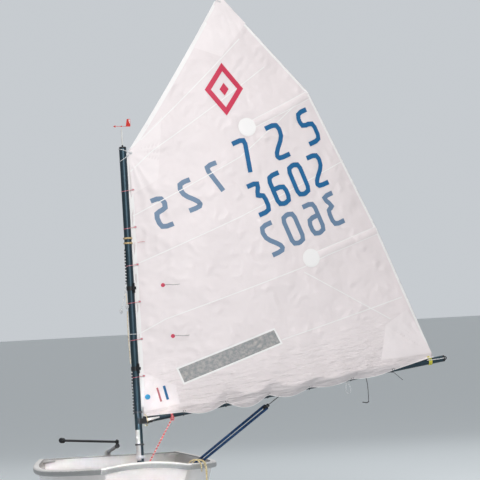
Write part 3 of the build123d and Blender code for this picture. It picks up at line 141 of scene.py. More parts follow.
# Painter: its route from the mast thwart over the port gunwale to the coil, and the coil's turns,
# which lie in layers.
PAINTER_DIAMETER = 0.006
PAINTER_POINTS = [
    (0.866, 0.150, 0.2852), (0.868, 0.152, 0.305), (0.884, 0.162, 0.319), (0.911, 0.180, 0.317),
    (0.938, 0.204, 0.301), (0.968, 0.228, 0.284), (0.998, 0.250, 0.282), (1.019, 0.266, 0.298),
    (1.030, 0.281, 0.321), (1.037, 0.302, 0.333), (1.042, 0.329, 0.328), (1.045, 0.347, 0.306),
    (1.045, 0.351, 0.275), (1.030, 0.3525, 0.258), (1.008, 0.3545, 0.258), (0.993, 0.3565, 0.275),
    (0.991, 0.356, 0.302), (0.988, 0.343, 0.323), (0.974, 0.319, 0.329), (0.956, 0.311, 0.332),
    (0.936, 0.320, 0.330), (0.932, 0.350, 0.328), (0.929, 0.376, 0.316), (0.928, 0.387, 0.288),
    (0.932, 0.390, 0.246), (0.938, 0.388, 0.196), (0.938, 0.387, 0.152), (0.923, 0.388, 0.130),
    (0.901, 0.391, 0.130), (0.886, 0.394, 0.150), (0.882, 0.398, 0.194), (0.884, 0.401, 0.246),
    (0.888, 0.399, 0.290), (0.896, 0.386, 0.317), (0.908, 0.358, 0.330), (0.921, 0.328, 0.327),
    (0.935, 0.304, 0.305), (0.948, 0.286, 0.270), (0.960, 0.264, 0.228), (0.968, 0.238, 0.191),
    (0.973, 0.210, 0.162), (0.974, 0.184, 0.141), (0.972, 0.158, 0.1246),
]
COIL_RADIUS = 0.052
COIL_TILT = -math.atan2(0.097, 0.245)
COIL_LAYERS = (3, 4, 3, 4, 3, 3)
COIL_TOP = 0.0145
COIL_STEP_DOWN = 0.0058
COIL_ACROSS = {3: (-0.0062, 0.0, 0.0062), 4: (-0.0093, -0.0031, 0.0031, 0.0093)}

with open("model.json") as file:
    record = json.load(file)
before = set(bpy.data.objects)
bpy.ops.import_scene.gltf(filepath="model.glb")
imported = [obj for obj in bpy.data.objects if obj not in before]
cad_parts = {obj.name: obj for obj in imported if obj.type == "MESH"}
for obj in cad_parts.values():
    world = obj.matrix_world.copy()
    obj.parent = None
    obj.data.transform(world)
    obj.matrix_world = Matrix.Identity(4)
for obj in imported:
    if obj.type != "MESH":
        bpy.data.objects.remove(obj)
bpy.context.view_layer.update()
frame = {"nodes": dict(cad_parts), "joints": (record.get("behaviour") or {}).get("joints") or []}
nodes = frame["nodes"]


def camera():
    """Camera at the photograph's place, leaned as the heeled boat was seen."""
    along, across = math.cos(CAMERA_AZIMUTH), math.sin(CAMERA_AZIMUTH)
    place = Vector((CAMERA_DISTANCE * along, -CAMERA_DISTANCE * across, CAMERA_HEIGHT))
    up = Vector((0, 0, 1))
    forward = Vector((-along, across, 0))
    turned = Matrix((forward.cross(up), up, -forward)).transposed()
    for axis, angle in (("Y", -CAMERA_YAW), ("X", CAMERA_PITCH), ("Z", CAMERA_ROLL)):
        turned = turned @ Matrix.Rotation(angle, 3, axis)
    data = bpy.data.cameras.new("camera")
    data.sensor_width = SENSOR
    data.lens = FOCAL_PIXELS / FRAME_PIXELS * SENSOR
    data.clip_end = 500.0
    eye = bpy.data.objects.new("camera", data)
    eye.matrix_world = Matrix.Translation(place) @ turned.to_4x4()
    bpy.context.scene.collection.objects.link(eye)
    bpy.context.scene.camera = eye


# Textures

RIDGED = "RIDGED_MULTIFRACTAL"
THREAD_WAVES = 6.28


def node(tree, kind, inputs=(), **settings):
    """A shader node with its settings, and its inputs set to values or links."""
    made = tree.nodes.new("ShaderNode" + kind)
    for name, value in settings.items():
        setattr(made, name, value)
    for name, value in dict(inputs).items():
        if isinstance(value, bpy.types.NodeSocket):
            tree.links.new(value, made.inputs[name])
        else:
            made.inputs[name].default_value = value
    return made


def maths(tree, operation, *values):
    """What a maths node makes of values or links."""
    return node(tree, "Math", dict(enumerate(values)), operation=operation).outputs["Value"]


def coordinates(tree, uv=False):
    """Texture coordinates of the object or of its UV map, in metres."""
    return node(tree, "TexCoord").outputs["UV" if uv else "Object"]


def noise(tree, vector, scale, detail=4.0, rough=0.55, kind="FBM"):
    """Noise at a scale in features a metre."""
    inputs = {"Vector": vector, "Scale": scale, "Detail": detail, "Roughness": rough}
    return node(tree, "TexNoise", inputs, noise_type=kind).outputs["Fac"]


def wave(tree, vector, scale, direction, distortion=0.0):
    """Bands at a scale along a direction."""
    inputs = {"Vector": vector, "Scale": scale, "Distortion": distortion}
    return node(tree, "TexWave", inputs, bands_direction=direction).outputs["Fac"]


def shades(tree, factor, dark, pale, low=0.35, high=0.65):
    """Colour that goes from dark to pale with a factor."""
    ramp = node(tree, "ValToRGB", {"Fac": factor})
    for end, place, colour in zip(ramp.color_ramp.elements, (low, high), (dark, pale)):
        end.position = place
        end.color = (*colour, 1)
    return ramp.outputs["Color"]


def stains(tree, place, dark, pale):
    """Soft stains that go from dark to pale."""
    return shades(tree, noise(tree, place, 3.5, 6.0, 0.65), dark, pale, 0.3, 0.62)


def paint(tree, shader, colour):
    """Link a colour to the shader."""
    tree.links.new(colour, shader.inputs["Base Color"])


def bump(tree, shader, height, strength, distance=0.001):
    """Relief from a height, added to what is already there."""
    made = node(tree, "Bump", {"Height": height, "Strength": strength, "Distance": distance})
    if shader.inputs["Normal"].is_linked:
        tree.links.new(shader.inputs["Normal"].links[0].from_socket, made.inputs["Normal"])
    tree.links.new(made.outputs["Normal"], shader.inputs["Normal"])


# Mask of the gunwale's painted tones: lighter where it faces up, darker on its upright faces.
def upward(tree):
    """How far the surface looks up: 1 on top, 0 on upright faces."""
    normal = node(tree, "NewGeometry").outputs["True Normal"]
    return node(tree, "SeparateXYZ", {"Vector": normal}).outputs["Z"]


# Mask that parts the hull's outside from its inside, where the inside gets painted shade.
def outward(tree):
    """How far the hull's surface looks away from a place over its middle: over 0.5 outside, less inside."""
    normal = node(tree, "NewGeometry").outputs["True Normal"]
    inputs = {0: coordinates(tree), 1: (0.0, 0.0, 0.6)}
    away = node(tree, "VectorMath", inputs, operation="SUBTRACT").outputs["Vector"]
    dot = node(tree, "VectorMath", {0: normal, 1: away}, operation="DOT_PRODUCT")
    return maths(tree, "ADD", dot.outputs["Value"], 0.5)


def seen_rays(tree):
    """1 for the rays that show the background: from the camera, in gloss and through glass."""
    path = node(tree, "LightPath")
    seen = path.outputs["Is Camera Ray"]
    for name in ("Is Glossy Ray", "Is Transmission Ray"):
        seen = maths(tree, "MAXIMUM", seen, path.outputs[name])
    return seen


# Materials

def material(name, colour, rough, metal=0.0, **sockets):
    """A principled material; returns it with its tree and shader."""
    made = bpy.data.materials.new(name)
    made.use_nodes = True
    shader = made.node_tree.nodes["Principled BSDF"]
    shader.inputs["Base Color"].default_value = (*colour, 1)
    shader.inputs["Roughness"].default_value = rough
    shader.inputs["Metallic"].default_value = metal
    for socket, value in sockets.items():
        shader.inputs[socket.replace("_", " ")].default_value = value
    return made, made.node_tree, shader


def worn(name, colour, rough, metal=0.0, grime=0.12, grain=60.0, relief=0.15, **sockets):
    """Moulded or painted surface with soft stains, fine grain and uneven gloss."""
    made, tree, shader = material(name, colour, rough, metal, **sockets)
    place = coordinates(tree)
    paint(tree, shader, stains(tree, place, tuple(c * (1 - grime) for c in colour), colour))
    ends = {"To Min": rough * 0.75, "To Max": min(1.0, rough * 1.35)}
    gloss = node(tree, "MapRange", {"Value": noise(tree, place, 9.0), **ends})
    tree.links.new(gloss.outputs["Result"], shader.inputs["Roughness"])
    bump(tree, shader, noise(tree, place, grain, 3.0), relief)
    return made


def toned_with_painted_shade(name, colours, factor, low, high, rough, relief, **sockets):
    """Moulding whose colour goes from its second colour to its first with a value of its form, with soft
    stains. Both callers paint shade with the second colour.
    """
    made, tree, shader = material(name, colours[0], rough, **sockets)
    place = coordinates(tree)
    colour = shades(tree, factor(tree), colours[1], colours[0], low, high)
    inputs = {0: 1.0, 6: colour, 7: stains(tree, place, (0.88, 0.87, 0.86), (1, 1, 1))}
    paint(tree, shader, node(tree, "Mix", inputs, data_type="RGBA", blend_type="MULTIPLY").outputs[2])
    bump(tree, shader, noise(tree, place, 60.0, 3.0), relief)
    return made


def cloth_weave(name, colour, rough, thread=900.0, stain_and_crinkle_highlight=0.05, relief=0.3, creases=0.0, uv=True, **sockets):
    """Woven cloth: crossed threads, faint stains and soft creases. Where it is creased, its colour is also
    paler on the crumpled ridges and darker between them: painted highlight and shade.
    """
    made, tree, shader = material(name, colour, rough, **sockets)
    place = coordinates(tree, uv)
    threads = [wave(tree, place, thread / THREAD_WAVES, way) for way in "XY"]
    factor, low, high = noise(tree, place, 4.0, 5.0), 0.35, 0.65
    if creases:
        crumple = noise(tree, place, 14.0, 7.0, 0.68, RIDGED)
        # The crumple also drives the colour: painted highlight on its ridges and painted shade between them.
        factor, low, high = maths(tree, "MULTIPLY_ADD", crumple, 0.5, factor), 0.55, 1.05
        bump(tree, shader, noise(tree, place, 4.0, 2.0, 0.4), creases, 0.04)
        bump(tree, shader, crumple, creases, 0.010)
    paint(tree, shader, shades(tree, factor, tuple(c * (1 - stain_and_crinkle_highlight) for c in colour), colour, low, high))
    bump(tree, shader, maths(tree, "MULTIPLY", *threads), relief, 0.0003)
    return made


def braid(name, main, second, share=0.5, every=0.0):
    """Braided line with flecks of a second colour, at random or at even steps up."""
    made, tree, shader = material(name, main, 0.75, Sheen_Weight=0.08)
    place = coordinates(tree)
    if every:
        colours, factor = (main, second), wave(tree, place, 0.1 * math.pi / every, "Z", 1.0)
    else:
        colours, factor = (second, main), noise(tree, place, 150.0, 1.0)
    paint(tree, shader, shades(tree, factor, *colours, share - 0.06, share + 0.06))
    bump(tree, shader, wave(tree, place, 180.0, "DIAGONAL", 2.0), 0.6, 0.0008)
    return made


def sailcloth():
    """Cloth of the sail: crumpled all over, with finer creases along the foot."""
    made = cloth_weave("sailcloth", (0.87, 0.79, 0.793), 0.55, 900.0, 0.08, 0.2, 0.9, Sheen_Weight=0.1)
    tree = made.node_tree
    flat = coordinates(tree, True)
    slope = SAIL_ROWS[0][2] / SAIL_ROWS[0][1]
    parted = node(tree, "SeparateXYZ", {"Vector": flat})
    above_foot = maths(tree, "MULTIPLY_ADD", parted.outputs["X"], -slope, parted.outputs["Y"])
    low = node(tree, "MapRange", {"Value": above_foot, "From Min": 0.34, "From Max": 0.04}).outputs["Result"]
    along = node(tree, "Mapping", {"Vector": flat, "Rotation": (0, 0, -math.atan(slope))}).outputs["Vector"]
    drawn = node(tree, "Mapping", {"Vector": along, "Scale": (5, 30, 1)}).outputs["Vector"]
    wrinkles = noise(tree, drawn, 1.0, 5.0, 0.62)
    bump(tree, tree.nodes["Principled BSDF"], maths(tree, "MULTIPLY", wrinkles, low), 1.0, 0.030)
    return made


def window_film():
    """Clear film of the window, wrinkled. Its grey-brown tones are a painted stand-in for what shows through
    it, and it is paler along its wrinkles as painted highlight.
    """
    made, tree, shader = material("window_film", (0.42, 0.38, 0.36), 0.16, Alpha=0.92, Coat_Weight=0.3)
    flat = coordinates(tree, True)
    wrinkles = noise(tree, flat, 30.0, 7.0, 0.66, RIDGED)
    # The wrinkles drive the colour: painted highlights along them, over painted tones of what shows through
    # the film.
    factor = maths(tree, "MULTIPLY_ADD", wrinkles, 0.45, noise(tree, flat, 45.0, 5.0, 0.6))
    paint(tree, shader, shades(tree, factor, (0.27, 0.28, 0.285), (0.64, 0.56, 0.52), 0.42, 0.96))
    bump(tree, shader, wrinkles, 0.6, 0.005)
    return made


SAIL_CLOTHS = {  # look: colour, roughness, thread, stain and crinkle highlight, relief, creases
    "tape": ((0.90, 0.875, 0.865), 0.6, 700.0, 0.03, 0.4),
    "patch": ((0.885, 0.812, 0.814), 0.55, 800.0, 0.04, 0.3, 0.6),
    "digit": ((0.003, 0.14, 0.345), 0.65, 900.0, 0.2, 0.2, 0.2),
    # Colour of the faint copies of the digits: painted show-through of the print lit through the cloth.
    "digit_through": ((0.15, 0.24, 0.365), 0.55, 900.0, 0.10, 0.2, 0.3),
    "motif": ((0.62, 0.030, 0.085), 0.5, 900.0, 0.15, 0.2),
    "mark_red": ((0.50, 0.13, 0.15), 0.5, 900.0, 0.1, 0.2),
    "dot": ((0.01, 0.30, 0.58), 0.5, 900.0, 0.1, 0.2),
}
BRAIDS = {  # look: main colour, flecks' colour, place on the ramp, step between even flecks
    "red_line": ((0.50, 0.015, 0.035), (0.75, 0.30, 0.32)),
    "pink_line": ((0.60, 0.08, 0.13), (0.75, 0.35, 0.38)),
    "white_line": ((0.80, 0.80, 0.79), (0.5, 0.52, 0.55)),
    "yellow_line": ((0.80, 0.78, 0.08), (0.62, 0.55, 0.08)),
    "flecked_line": ((0.02, 0.02, 0.025), (0.9, 0.9, 0.9), 0.80, 0.019),
    "pale_line": ((0.82, 0.74, 0.60), (0.62, 0.52, 0.38)),
    "red_white_line": ((0.70, 0.025, 0.04), (0.90, 0.62, 0.60), 0.62, 0.017),
    "tan_line": ((0.66, 0.50, 0.27), (0.45, 0.32, 0.16)),
    "cream_line": ((0.86, 0.74, 0.44), (0.55, 0.42, 0.20)),
    "sheet_line": ((0.001, 0.022, 0.085), (0.002, 0.10, 0.27), 0.42),
    "dark_line": ((0.03, 0.03, 0.035), (0.08, 0.08, 0.09)),
}


def materials():
    """Every material of the pieces, by its short name."""
    # Hull: white gelcoat outside and a darker tone on the inside faces; the darker inside is painted shade.
    gelcoat_and_inner_shade = ((0.92, 0.86, 0.845), (0.84, 0.80, 0.785))
    # Gunwale: white on top and grey on its upright faces. The grey is a rubbing strip darkened to the hull
    # sides' shade, which is painted shade, and the lighter top is painted light from above.
    gunwale = ((0.95, 0.92, 0.90), (0.40, 0.40, 0.40))
    made = {
        "hull": toned_with_painted_shade("gelcoat_and_inner_shade", gelcoat_and_inner_shade, outward, 0.49, 0.51, 0.22, 0.15, Coat_Weight=0.4),
        "gunwale": toned_with_painted_shade("gunwale", gunwale, upward, 0.20, 0.42, 0.4, 0.25),
        "inner": worn("inner_gelcoat", (0.66, 0.64, 0.63), 0.34, 0.0, 0.2, 140.0, 0.3),
        "bag": worn("air_bag", (0.74, 0.74, 0.70), 0.34, 0.0, 0.1, 90.0, 0.35, Sheen_Weight=0.2),
        "webbing": cloth_weave("webbing", (0.035, 0.036, 0.04), 0.8, 600.0, 0.3, 0.8, uv=False),
        "steel": worn("stainless", (0.55, 0.56, 0.57), 0.28, 1.0, 0.12, 400.0),
        "black": worn("moulded_black", (0.014, 0.015, 0.017), 0.42, 0.0, 0.3, 300.0, Specular_IOR_Level=0.3),
        "spar": worn("anodised_spar", (0.034, 0.058, 0.074), 0.40, 0.85, 0.2, 200.0, 0.02),
        "staff": worn("staff", (0.70, 0.70, 0.68), 0.5),
        "foil": worn("foil", (0.74, 0.70, 0.60), 0.25, grime=0.15, Coat_Weight=0.5),
        "trim": worn("foil_trim", (0.70, 0.70, 0.66), 0.35),
        "tube": worn("tiller_tube", (0.06, 0.06, 0.065), 0.3, 0.8),
        "sleeve": worn("mast_sleeve", (0.68, 0.67, 0.66), 0.5, grime=0.35),
        "red": worn("vane_red", (0.62, 0.04, 0.03), 0.4),
        "sail": sailcloth(),
        "film": window_film(),
    }
    for look, values in SAIL_CLOTHS.items():
        made[look] = cloth_weave("sail_" + look, *values)
    for look, values in BRAIDS.items():
        made[look] = braid(look, *values)
    return made


LOOKS = materials()


# Making pieces

def piece(name, data, look, body):
    """Object of the scene with its material, riding on a body of the model."""
    made = bpy.data.objects.new(name, data)
    bpy.context.scene.collection.objects.link(made)
    made.data.materials.append(LOOKS[look])
    if body:
        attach(made, body)
    return made


def mesh(name, points, faces, look, body="rig", uvs=None, smooth=True):
    """Mesh piece from points and faces, with flat coordinates as its UV map."""
    data = bpy.data.meshes.new(name)
    data.from_pydata([tuple(p) for p in points], [], [tuple(f) for f in faces])
    if uvs is not None:
        layer = data.uv_layers.new(name="flat")
        for loop in data.loops:
            layer.data[loop.index].uv = uvs[loop.vertex_index]
    for polygon in data.polygons:
        polygon.use_smooth = smooth
    data.validate()
    return piece(name, data, look, body)


def solid(thing, modifier, **settings):
    """A modifier, applied to a mesh piece."""
    made = thing.modifiers.new(modifier.lower(), modifier)
    for name, value in settings.items():
        setattr(made, name, value)
    graph = bpy.context.evaluated_depsgraph_get()
    data = bpy.data.meshes.new_from_object(thing.evaluated_get(graph))
    thing.modifiers.clear()
    thing.data = data
    return thing


def line(name, points, diameter, look, body="rig", closed=False, sharp=False):
    """Cord-like piece: a round section along control points."""
    data = bpy.data.curves.new(name, "CURVE")
    data.dimensions = "3D"
    data.bevel_depth = diameter / 2
    data.bevel_resolution = 3
    data.resolution_u = 6
    data.use_fill_caps = True
    spline = data.splines.new("POLY" if sharp else "NURBS")
    spline.points.add(len(points) - 1)
    for place, point in zip(spline.points, points):
        place.co = (*point, 1)
    if not sharp:
        spline.order_u = 3
        spline.use_endpoint_u = not closed
    spline.use_cyclic_u = closed
    return piece(name, data, look, body)


def joined(name, parts):
    """Several pieces of one material made one piece."""
    bpy.ops.object.select_all(action="DESELECT")
    for part in parts:
        part.select_set(True)
    bpy.context.view_layer.objects.active = parts[0]
    bpy.ops.object.join()
    parts[0].name = name
    return parts[0]


def grid_faces(wide, high, first=0, round_across=False, round_up=False):
    """Faces of a grid of points that lie row by row, and may close on themselves either way."""
    faces = []
    for row in range(high - (not round_up)):
        low, top = first + row * wide, first + (row + 1) % high * wide
        for column in range(wide - (not round_across)):
            after = (column + 1) % wide
            faces.append((low + column, low + after, top + after, top + column))
    return faces


def ring(centre, radius, count=16):
    """Places round a circle: a pair of distances each."""
    angles = (2 * math.pi * step / count for step in range(count))
    return [(centre[0] + radius * math.cos(a), centre[1] + radius * math.sin(a)) for a in angles]


def subdivided(route, cell=0.02):
    """Route with its runs cut into steps no longer than a cell."""
    points = [Vector(route[0])]
    for first, last in zip(route, route[1:]):
        first, last = Vector(first), Vector(last)
        steps = max(1, math.ceil((last - first).length / cell))
        points += [first.lerp(last, (step + 1) / steps) for step in range(steps)]
    return points


def rounded(route, reach, closed=False):
    """Route with each corner cut by a short bend that starts a reach away from it."""
    route = [Vector(p) for p in route]
    bent = []
    for index, corner in enumerate(route):
        if not closed and index in (0, len(route) - 1):
            bent.append(corner)
            continue
        ends = []
        for other in (route[index - 1], route[(index + 1) % len(route)]):
            run = other - corner
            ends.append(corner + run.normalized() * min(reach, run.length * 0.45))
        bent += [ends[0], (ends[0] + ends[1] + 2 * corner) / 4, ends[1]]
    return bent


# The rig's own frame: distances to leeward, out along the boom's side and up the mast.

SWING = next(joint for joint in frame["joints"] if joint["name"] == "rig_swing")
MAST_FOOT = Vector(SWING["pos_m"])
MAST_UP = Vector(SWING["axis"]).normalized()
AFT = Vector((0, 1, 0)).cross(MAST_UP).normalized() * -1
LEEWARD = Vector((0, math.cos(BOOM_OUT), 0)) - AFT * math.sin(BOOM_OUT)
OUTWARD = MAST_UP.cross(LEEWARD)


def on_rig(lee, out, up):
    """Point of the model from the rig's own distances."""
    return MAST_FOOT + LEEWARD * lee + OUTWARD * out + MAST_UP * up


def boom_at(distance, up=0.0, lee=0.0):
    """Place beside the boom's axis, in the rig's own distances."""
    rise, run = math.sin(BOOM_RISE), math.cos(BOOM_RISE)
    return lee, run * distance - rise * up, BOOM_UP_MAST + rise * distance + run * up


def on_boom(distance, up=0.0, lee=0.0):
    """Point of the model beside the boom's axis."""
    return on_rig(*boom_at(distance, up, lee))


def boom_height(out):
    """Height of the boom's axis up the mast at a place out from the mast."""
    return BOOM_UP_MAST + math.tan(BOOM_RISE) * out


# Form of the sail

ROW_SHARES = [row[0] / LUFF for row in SAIL_ROWS]
CAMBER_CURVE = np.polyfit(ROW_SHARES, [row[3] for row in SAIL_ROWS], 3)
FULL_FADE = 0.09
LUFF_FADE = 0.05
LUFF_RIPPLE = 0.004
FOLD_FADE = 0.10
FOLD_DEPTH = 0.005
CLOTH_STEP = 0.004


def row_values(share, column):
    """Values of the sail's rows at shares of the luff."""
    return np.interp(share, ROW_SHARES, [row[column] for row in SAIL_ROWS])


def extended(share, column):
    """Row values carried on in a line above the head."""
    slope = (SAIL_ROWS[-1][column] - SAIL_ROWS[-2][column]) / (1 - SAIL_ROWS[-2][0] / LUFF)
    return row_values(share, column) + np.clip(share - 1, 0, None) * slope


def arched(share, across):
    """Plain camber of the cloth, before its creases and folds."""
    return 4 * np.polyval(CAMBER_CURVE, np.clip(share, 0, 1)) * across * (1 - across) - CLOTH_BACK


def creases(out, up):
    """Depth of the creases that fan out from the corners, at places on the sail."""
    depth = np.zeros(np.shape(out))
    for corner, count, reach, height in CREASES:
        x, y = out - CORNERS[corner][0], up - CORNERS[corner][1]
        distance, angle = np.hypot(x, y), np.arctan2(y, x)
        fan = np.sin(count * angle + 2.0 * np.sin(5.0 * angle)) * np.sin(7.3 * angle + 1.0)
        depth += height * fan * np.exp(-distance / reach) * np.clip(distance / 0.16 - 0.25, 0, 1)
    return depth


def foot_edge(out):
    """Height of the foot's edge over the boom's axis: held at the ties and hanging between them."""
    places, held, sags, _ = (np.array(column) for column in zip(*FOOT_BAYS))
    bay = np.clip(np.searchsorted(places, out, "right") - 1, 0, len(places) - 2)
    share = np.clip((out - places[bay]) / (places[bay + 1] - places[bay]), 0, 1)
    return held[bay] + (held[bay + 1] - held[bay]) * share - sags[bay] * np.sin(math.pi * share)


def tucked(lee, out, height):
    """Leeward place of the low cloth: it turns in under its fold to lie on the boom's face."""
    ties, rises = np.array(FOOT_TIES), np.array([bay[3] for bay in FOOT_BAYS[1:]])
    near = np.exp(-((out[..., None] - ties) / FOLD_WIDE) ** 2)
    fold, edge = FOLD_UP + (near * rises).max(axis=-1), foot_edge(out)
    turn = np.clip((fold - height) / (fold - edge), 0, 1)
    inner = BOOM_FACE + 0.010 * (1 - near.max(axis=-1)) * np.clip(-height / 0.02, 0, 1)
    lee = inner + (lee - inner) * (1 - turn ** 1.35)
    on_top = np.sqrt(np.clip(BOOM_FACE ** 2 - np.clip(height, 0, None) ** 2, 0, None))
    return np.where(height < BOOM_FACE, np.maximum(lee, on_top), lee)


def cloth(across, share):
    """Middle of the cloth, in the rig's distances, at shares across and up the sail."""
    across, share = np.broadcast_arrays(np.asarray(across, float), np.asarray(share, float))
    out = TACK_OUT + (extended(share, 1) - TACK_OUT) * across
    up = LUFF * share * (1 - across) + extended(share, 2) * across
    full = np.sin(math.pi * np.clip(across, 0, 1)) * np.exp(-np.clip(share, 0, None) / FULL_FADE)
    lee = arched(share, across) + FOOT_FULL * full + creases(out, up)
    near_luff = np.exp(-across / LUFF_FADE)
    ties = np.array(LUFF_TIES + [0.0]) / LUFF
    gap = np.min(np.abs(share[..., None] - ties), axis=-1) * LUFF
    sag = np.clip(gap / 0.11, 0, 1) ** 2
    out = out + near_luff * LUFF_RIPPLE * sag * np.clip(across * 40, 0.3, 1)
    lee = lee + LUFF_RIPPLE * np.sin(share * 57.0 + 1.0) * near_luff * np.clip(across / 0.03, 0, 1)
    folds = np.exp(-share / FOLD_FADE) * np.sin(across * 41.0 + 3.0 * np.sin(across * 9.0)) * FOLD_DEPTH
    lee = lee + folds * np.clip(across * 8, 0, 1) * np.clip((1 - across) * 8, 0, 1)
    up = TACK_UP_MAST + up
    return np.stack([tucked(lee, out, up - boom_height(out)), out, up], axis=-1)


def shelf(across, down):
    """Foot of the cloth below its luff-to-clew line, hanging to leeward of the boom."""
    _, out, up = np.moveaxis(cloth(across, 0.0), -1, 0)
    height = up - boom_height(out)
    height = height + (foot_edge(out) - height) * down
    lee = tucked(arched(0.0, across) + FOOT_FULL * np.sin(math.pi * across), out, height)
    return np.stack([lee, out, boom_height(out) + height], axis=-1)


def shares_at(out, up):
    """Shares across and up the sail at places out from the mast and up from the tack."""
    low, high = np.full(out.shape, -0.2), np.full(out.shape, 1.6)
    for _ in range(44):
        share = (low + high) / 2
        across = (out - TACK_OUT) / (extended(share, 1) - TACK_OUT)
        height = LUFF * share * (1 - across) + extended(share, 2) * across
        low = np.where(height < up, share, low)
        high = np.where(height < up, high, share)
    return across, share


def cloth_points(places, lift):
    """Points of the model at (out, up) places on the cloth, lifted off it to leeward or, below zero,
    to windward."""
    out, up = np.array([tuple(place) for place in places], float).T
    across, share = shares_at(out, up)
    here = cloth(across, share)
    side = cloth(across + CLOTH_STEP, share) - here
    rise = cloth(across, share + CLOTH_STEP) - here
    normal = np.cross(side, rise)
    normal /= np.linalg.norm(normal, axis=-1, keepdims=True)
    normal *= np.where(normal[..., :1] < 0, -1, 1)
    return [on_rig(*p) for p in here + normal * np.asarray(lift)[..., None]]


# Layers on the cloth: each lies a little off it, to leeward (1), to windward (-1) or both.

BOTH_SIDES = (1, -1)


def layer(name, flat, lifts, faces, look, sides=BOTH_SIDES):
    """Piece on the cloth from flat places (out, up), their lifts and their faces."""
    points, all_faces = [], []
    for sign in sides:
        all_faces += [tuple(len(points) + corner for corner in face) for face in faces]
        points += cloth_points(flat, sign * np.asarray(lifts))
    return mesh(name, points, all_faces, look, uvs=[tuple(p) for p in flat] * len(sides))


def panel(name, corners, look, lift=0.0008, cell=0.02, sides=BOTH_SIDES):
    """Four-cornered layer, given by (out, up) corners in order round it."""
    a, b, c, d = (np.array(corner, float) for corner in corners)
    wide = max(2, int(max(np.linalg.norm(b - a), np.linalg.norm(c - d)) / cell) + 2)
    high = max(2, int(max(np.linalg.norm(d - a), np.linalg.norm(c - b)) / cell) + 2)
    x, y = (part[..., None] for part in np.meshgrid(np.linspace(0, 1, wide), np.linspace(0, 1, high)))
    flat = (1 - x) * (1 - y) * a + x * (1 - y) * b + x * y * c + (1 - x) * y * d
    return layer(name, flat.reshape(-1, 2), lift, grid_faces(wide, high), look, sides)


def disc(name, centre, radius, look, lift=0.0012, count=28):
    """Round patch."""
    flat = [centre] + ring(centre, radius / 2, count) + ring(centre, radius, count)
    faces = []
    for step in range(count):
        here, after = 1 + step, 1 + (step + 1) % count
        faces += [(0, here, after), (here, count + here, count + after, after)]
    return layer(name, flat, lift, faces, look)


def ribbon(name, route, profile, look, closed=False, sides=BOTH_SIDES, climb=0.0):
    """Band along (out, up) points, mitred at its corners. Its profile is (aside, lift) places across
    it, and it may climb on its way, so that it can cross itself."""
    route = subdivided(route + route[:1] if closed else route)[:-1 if closed else None]
    flat, lifts = [], []
    for index, place in enumerate(route):
        ways = []
        if closed or index:
            ways.append((place - route[index - 1]).normalized())
        if closed or index < len(route) - 1:
            ways.append((route[(index + 1) % len(route)] - place).normalized())
        way = sum(ways, Vector((0, 0))).normalized()
        side = Vector((-way.y, way.x)) / max(0.35, way.dot(ways[0]))
        flat += [place + side * aside for aside, _ in profile]
        lifts += [lift + climb * index for _, lift in profile]
    return layer(name, flat, lifts, grid_faces(len(profile), len(route), round_up=closed), look, sides)


def flat_band(width, lift):
    """Profile of a flat band."""
    return [(-width / 2, lift), (width / 2, lift)]


# The cloth itself

WINDOW = [(0.254, 0.273), (0.874, 0.485), (0.920, 0.395), (0.292, 0.178)]
WINDOW_EDGES = list(zip(WINDOW, WINDOW[1:] + WINDOW[:1]))
WINDOW_RIM = 0.011


def inside_window(out, up):
    """Whether a place lies in the window's opening."""
    return all((x1 - x0) * (up - y0) - (y1 - y0) * (out - x0) < 0 for (x0, y0), (x1, y1) in WINDOW_EDGES)


def cut_window(cloth_mesh):
    """Open the window in the cloth; returns the area that is left."""
    shape = bmesh.new()
    shape.from_mesh(cloth_mesh)
    for (x0, y0), (x1, y1) in WINDOW_EDGES:
        bmesh.ops.bisect_plane(shape, geom=shape.verts[:] + shape.edges[:] + shape.faces[:],
                               plane_co=on_rig(0, x0, TACK_UP_MAST + y0),
                               plane_no=OUTWARD * (y1 - y0) - MAST_UP * (x1 - x0))
    opening = []
    for face in shape.faces:
        middle = face.calc_center_median() - on_rig(0, 0, TACK_UP_MAST)
        if inside_window(middle.dot(OUTWARD), middle.dot(MAST_UP)):
            opening.append(face)
    bmesh.ops.delete(shape, geom=opening, context="FACES")
    area = sum(face.calc_area() for face in shape.faces)
    shape.to_mesh(cloth_mesh)
    shape.free()
    return area


def sail():
    """The cloth with its shelf at the foot and the opening of its window, and its area."""
    across = np.linspace(0, 1, SAIL_ACROSS)
    rows = [shelf(across, down) for down in np.linspace(1, 0, SHELF_ROWS)[:-1]]
    rows += [cloth(across, share) for share in np.linspace(0, 1, SAIL_UP) ** SAIL_CROWD]
    grid = np.array(rows).reshape(-1, 3)
    flat = [(out, up - TACK_UP_MAST) for _, out, up in grid]
    points = [on_rig(*p) for p in grid]
    made = mesh("sail_cloth", points, grid_faces(SAIL_ACROSS, len(rows)), "sail", uvs=flat)
    area = cut_window(made.data)
    solid(made, "SOLIDIFY", thickness=CLOTH_THICK, offset=0)
    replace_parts(made, "sail")
    return made, area


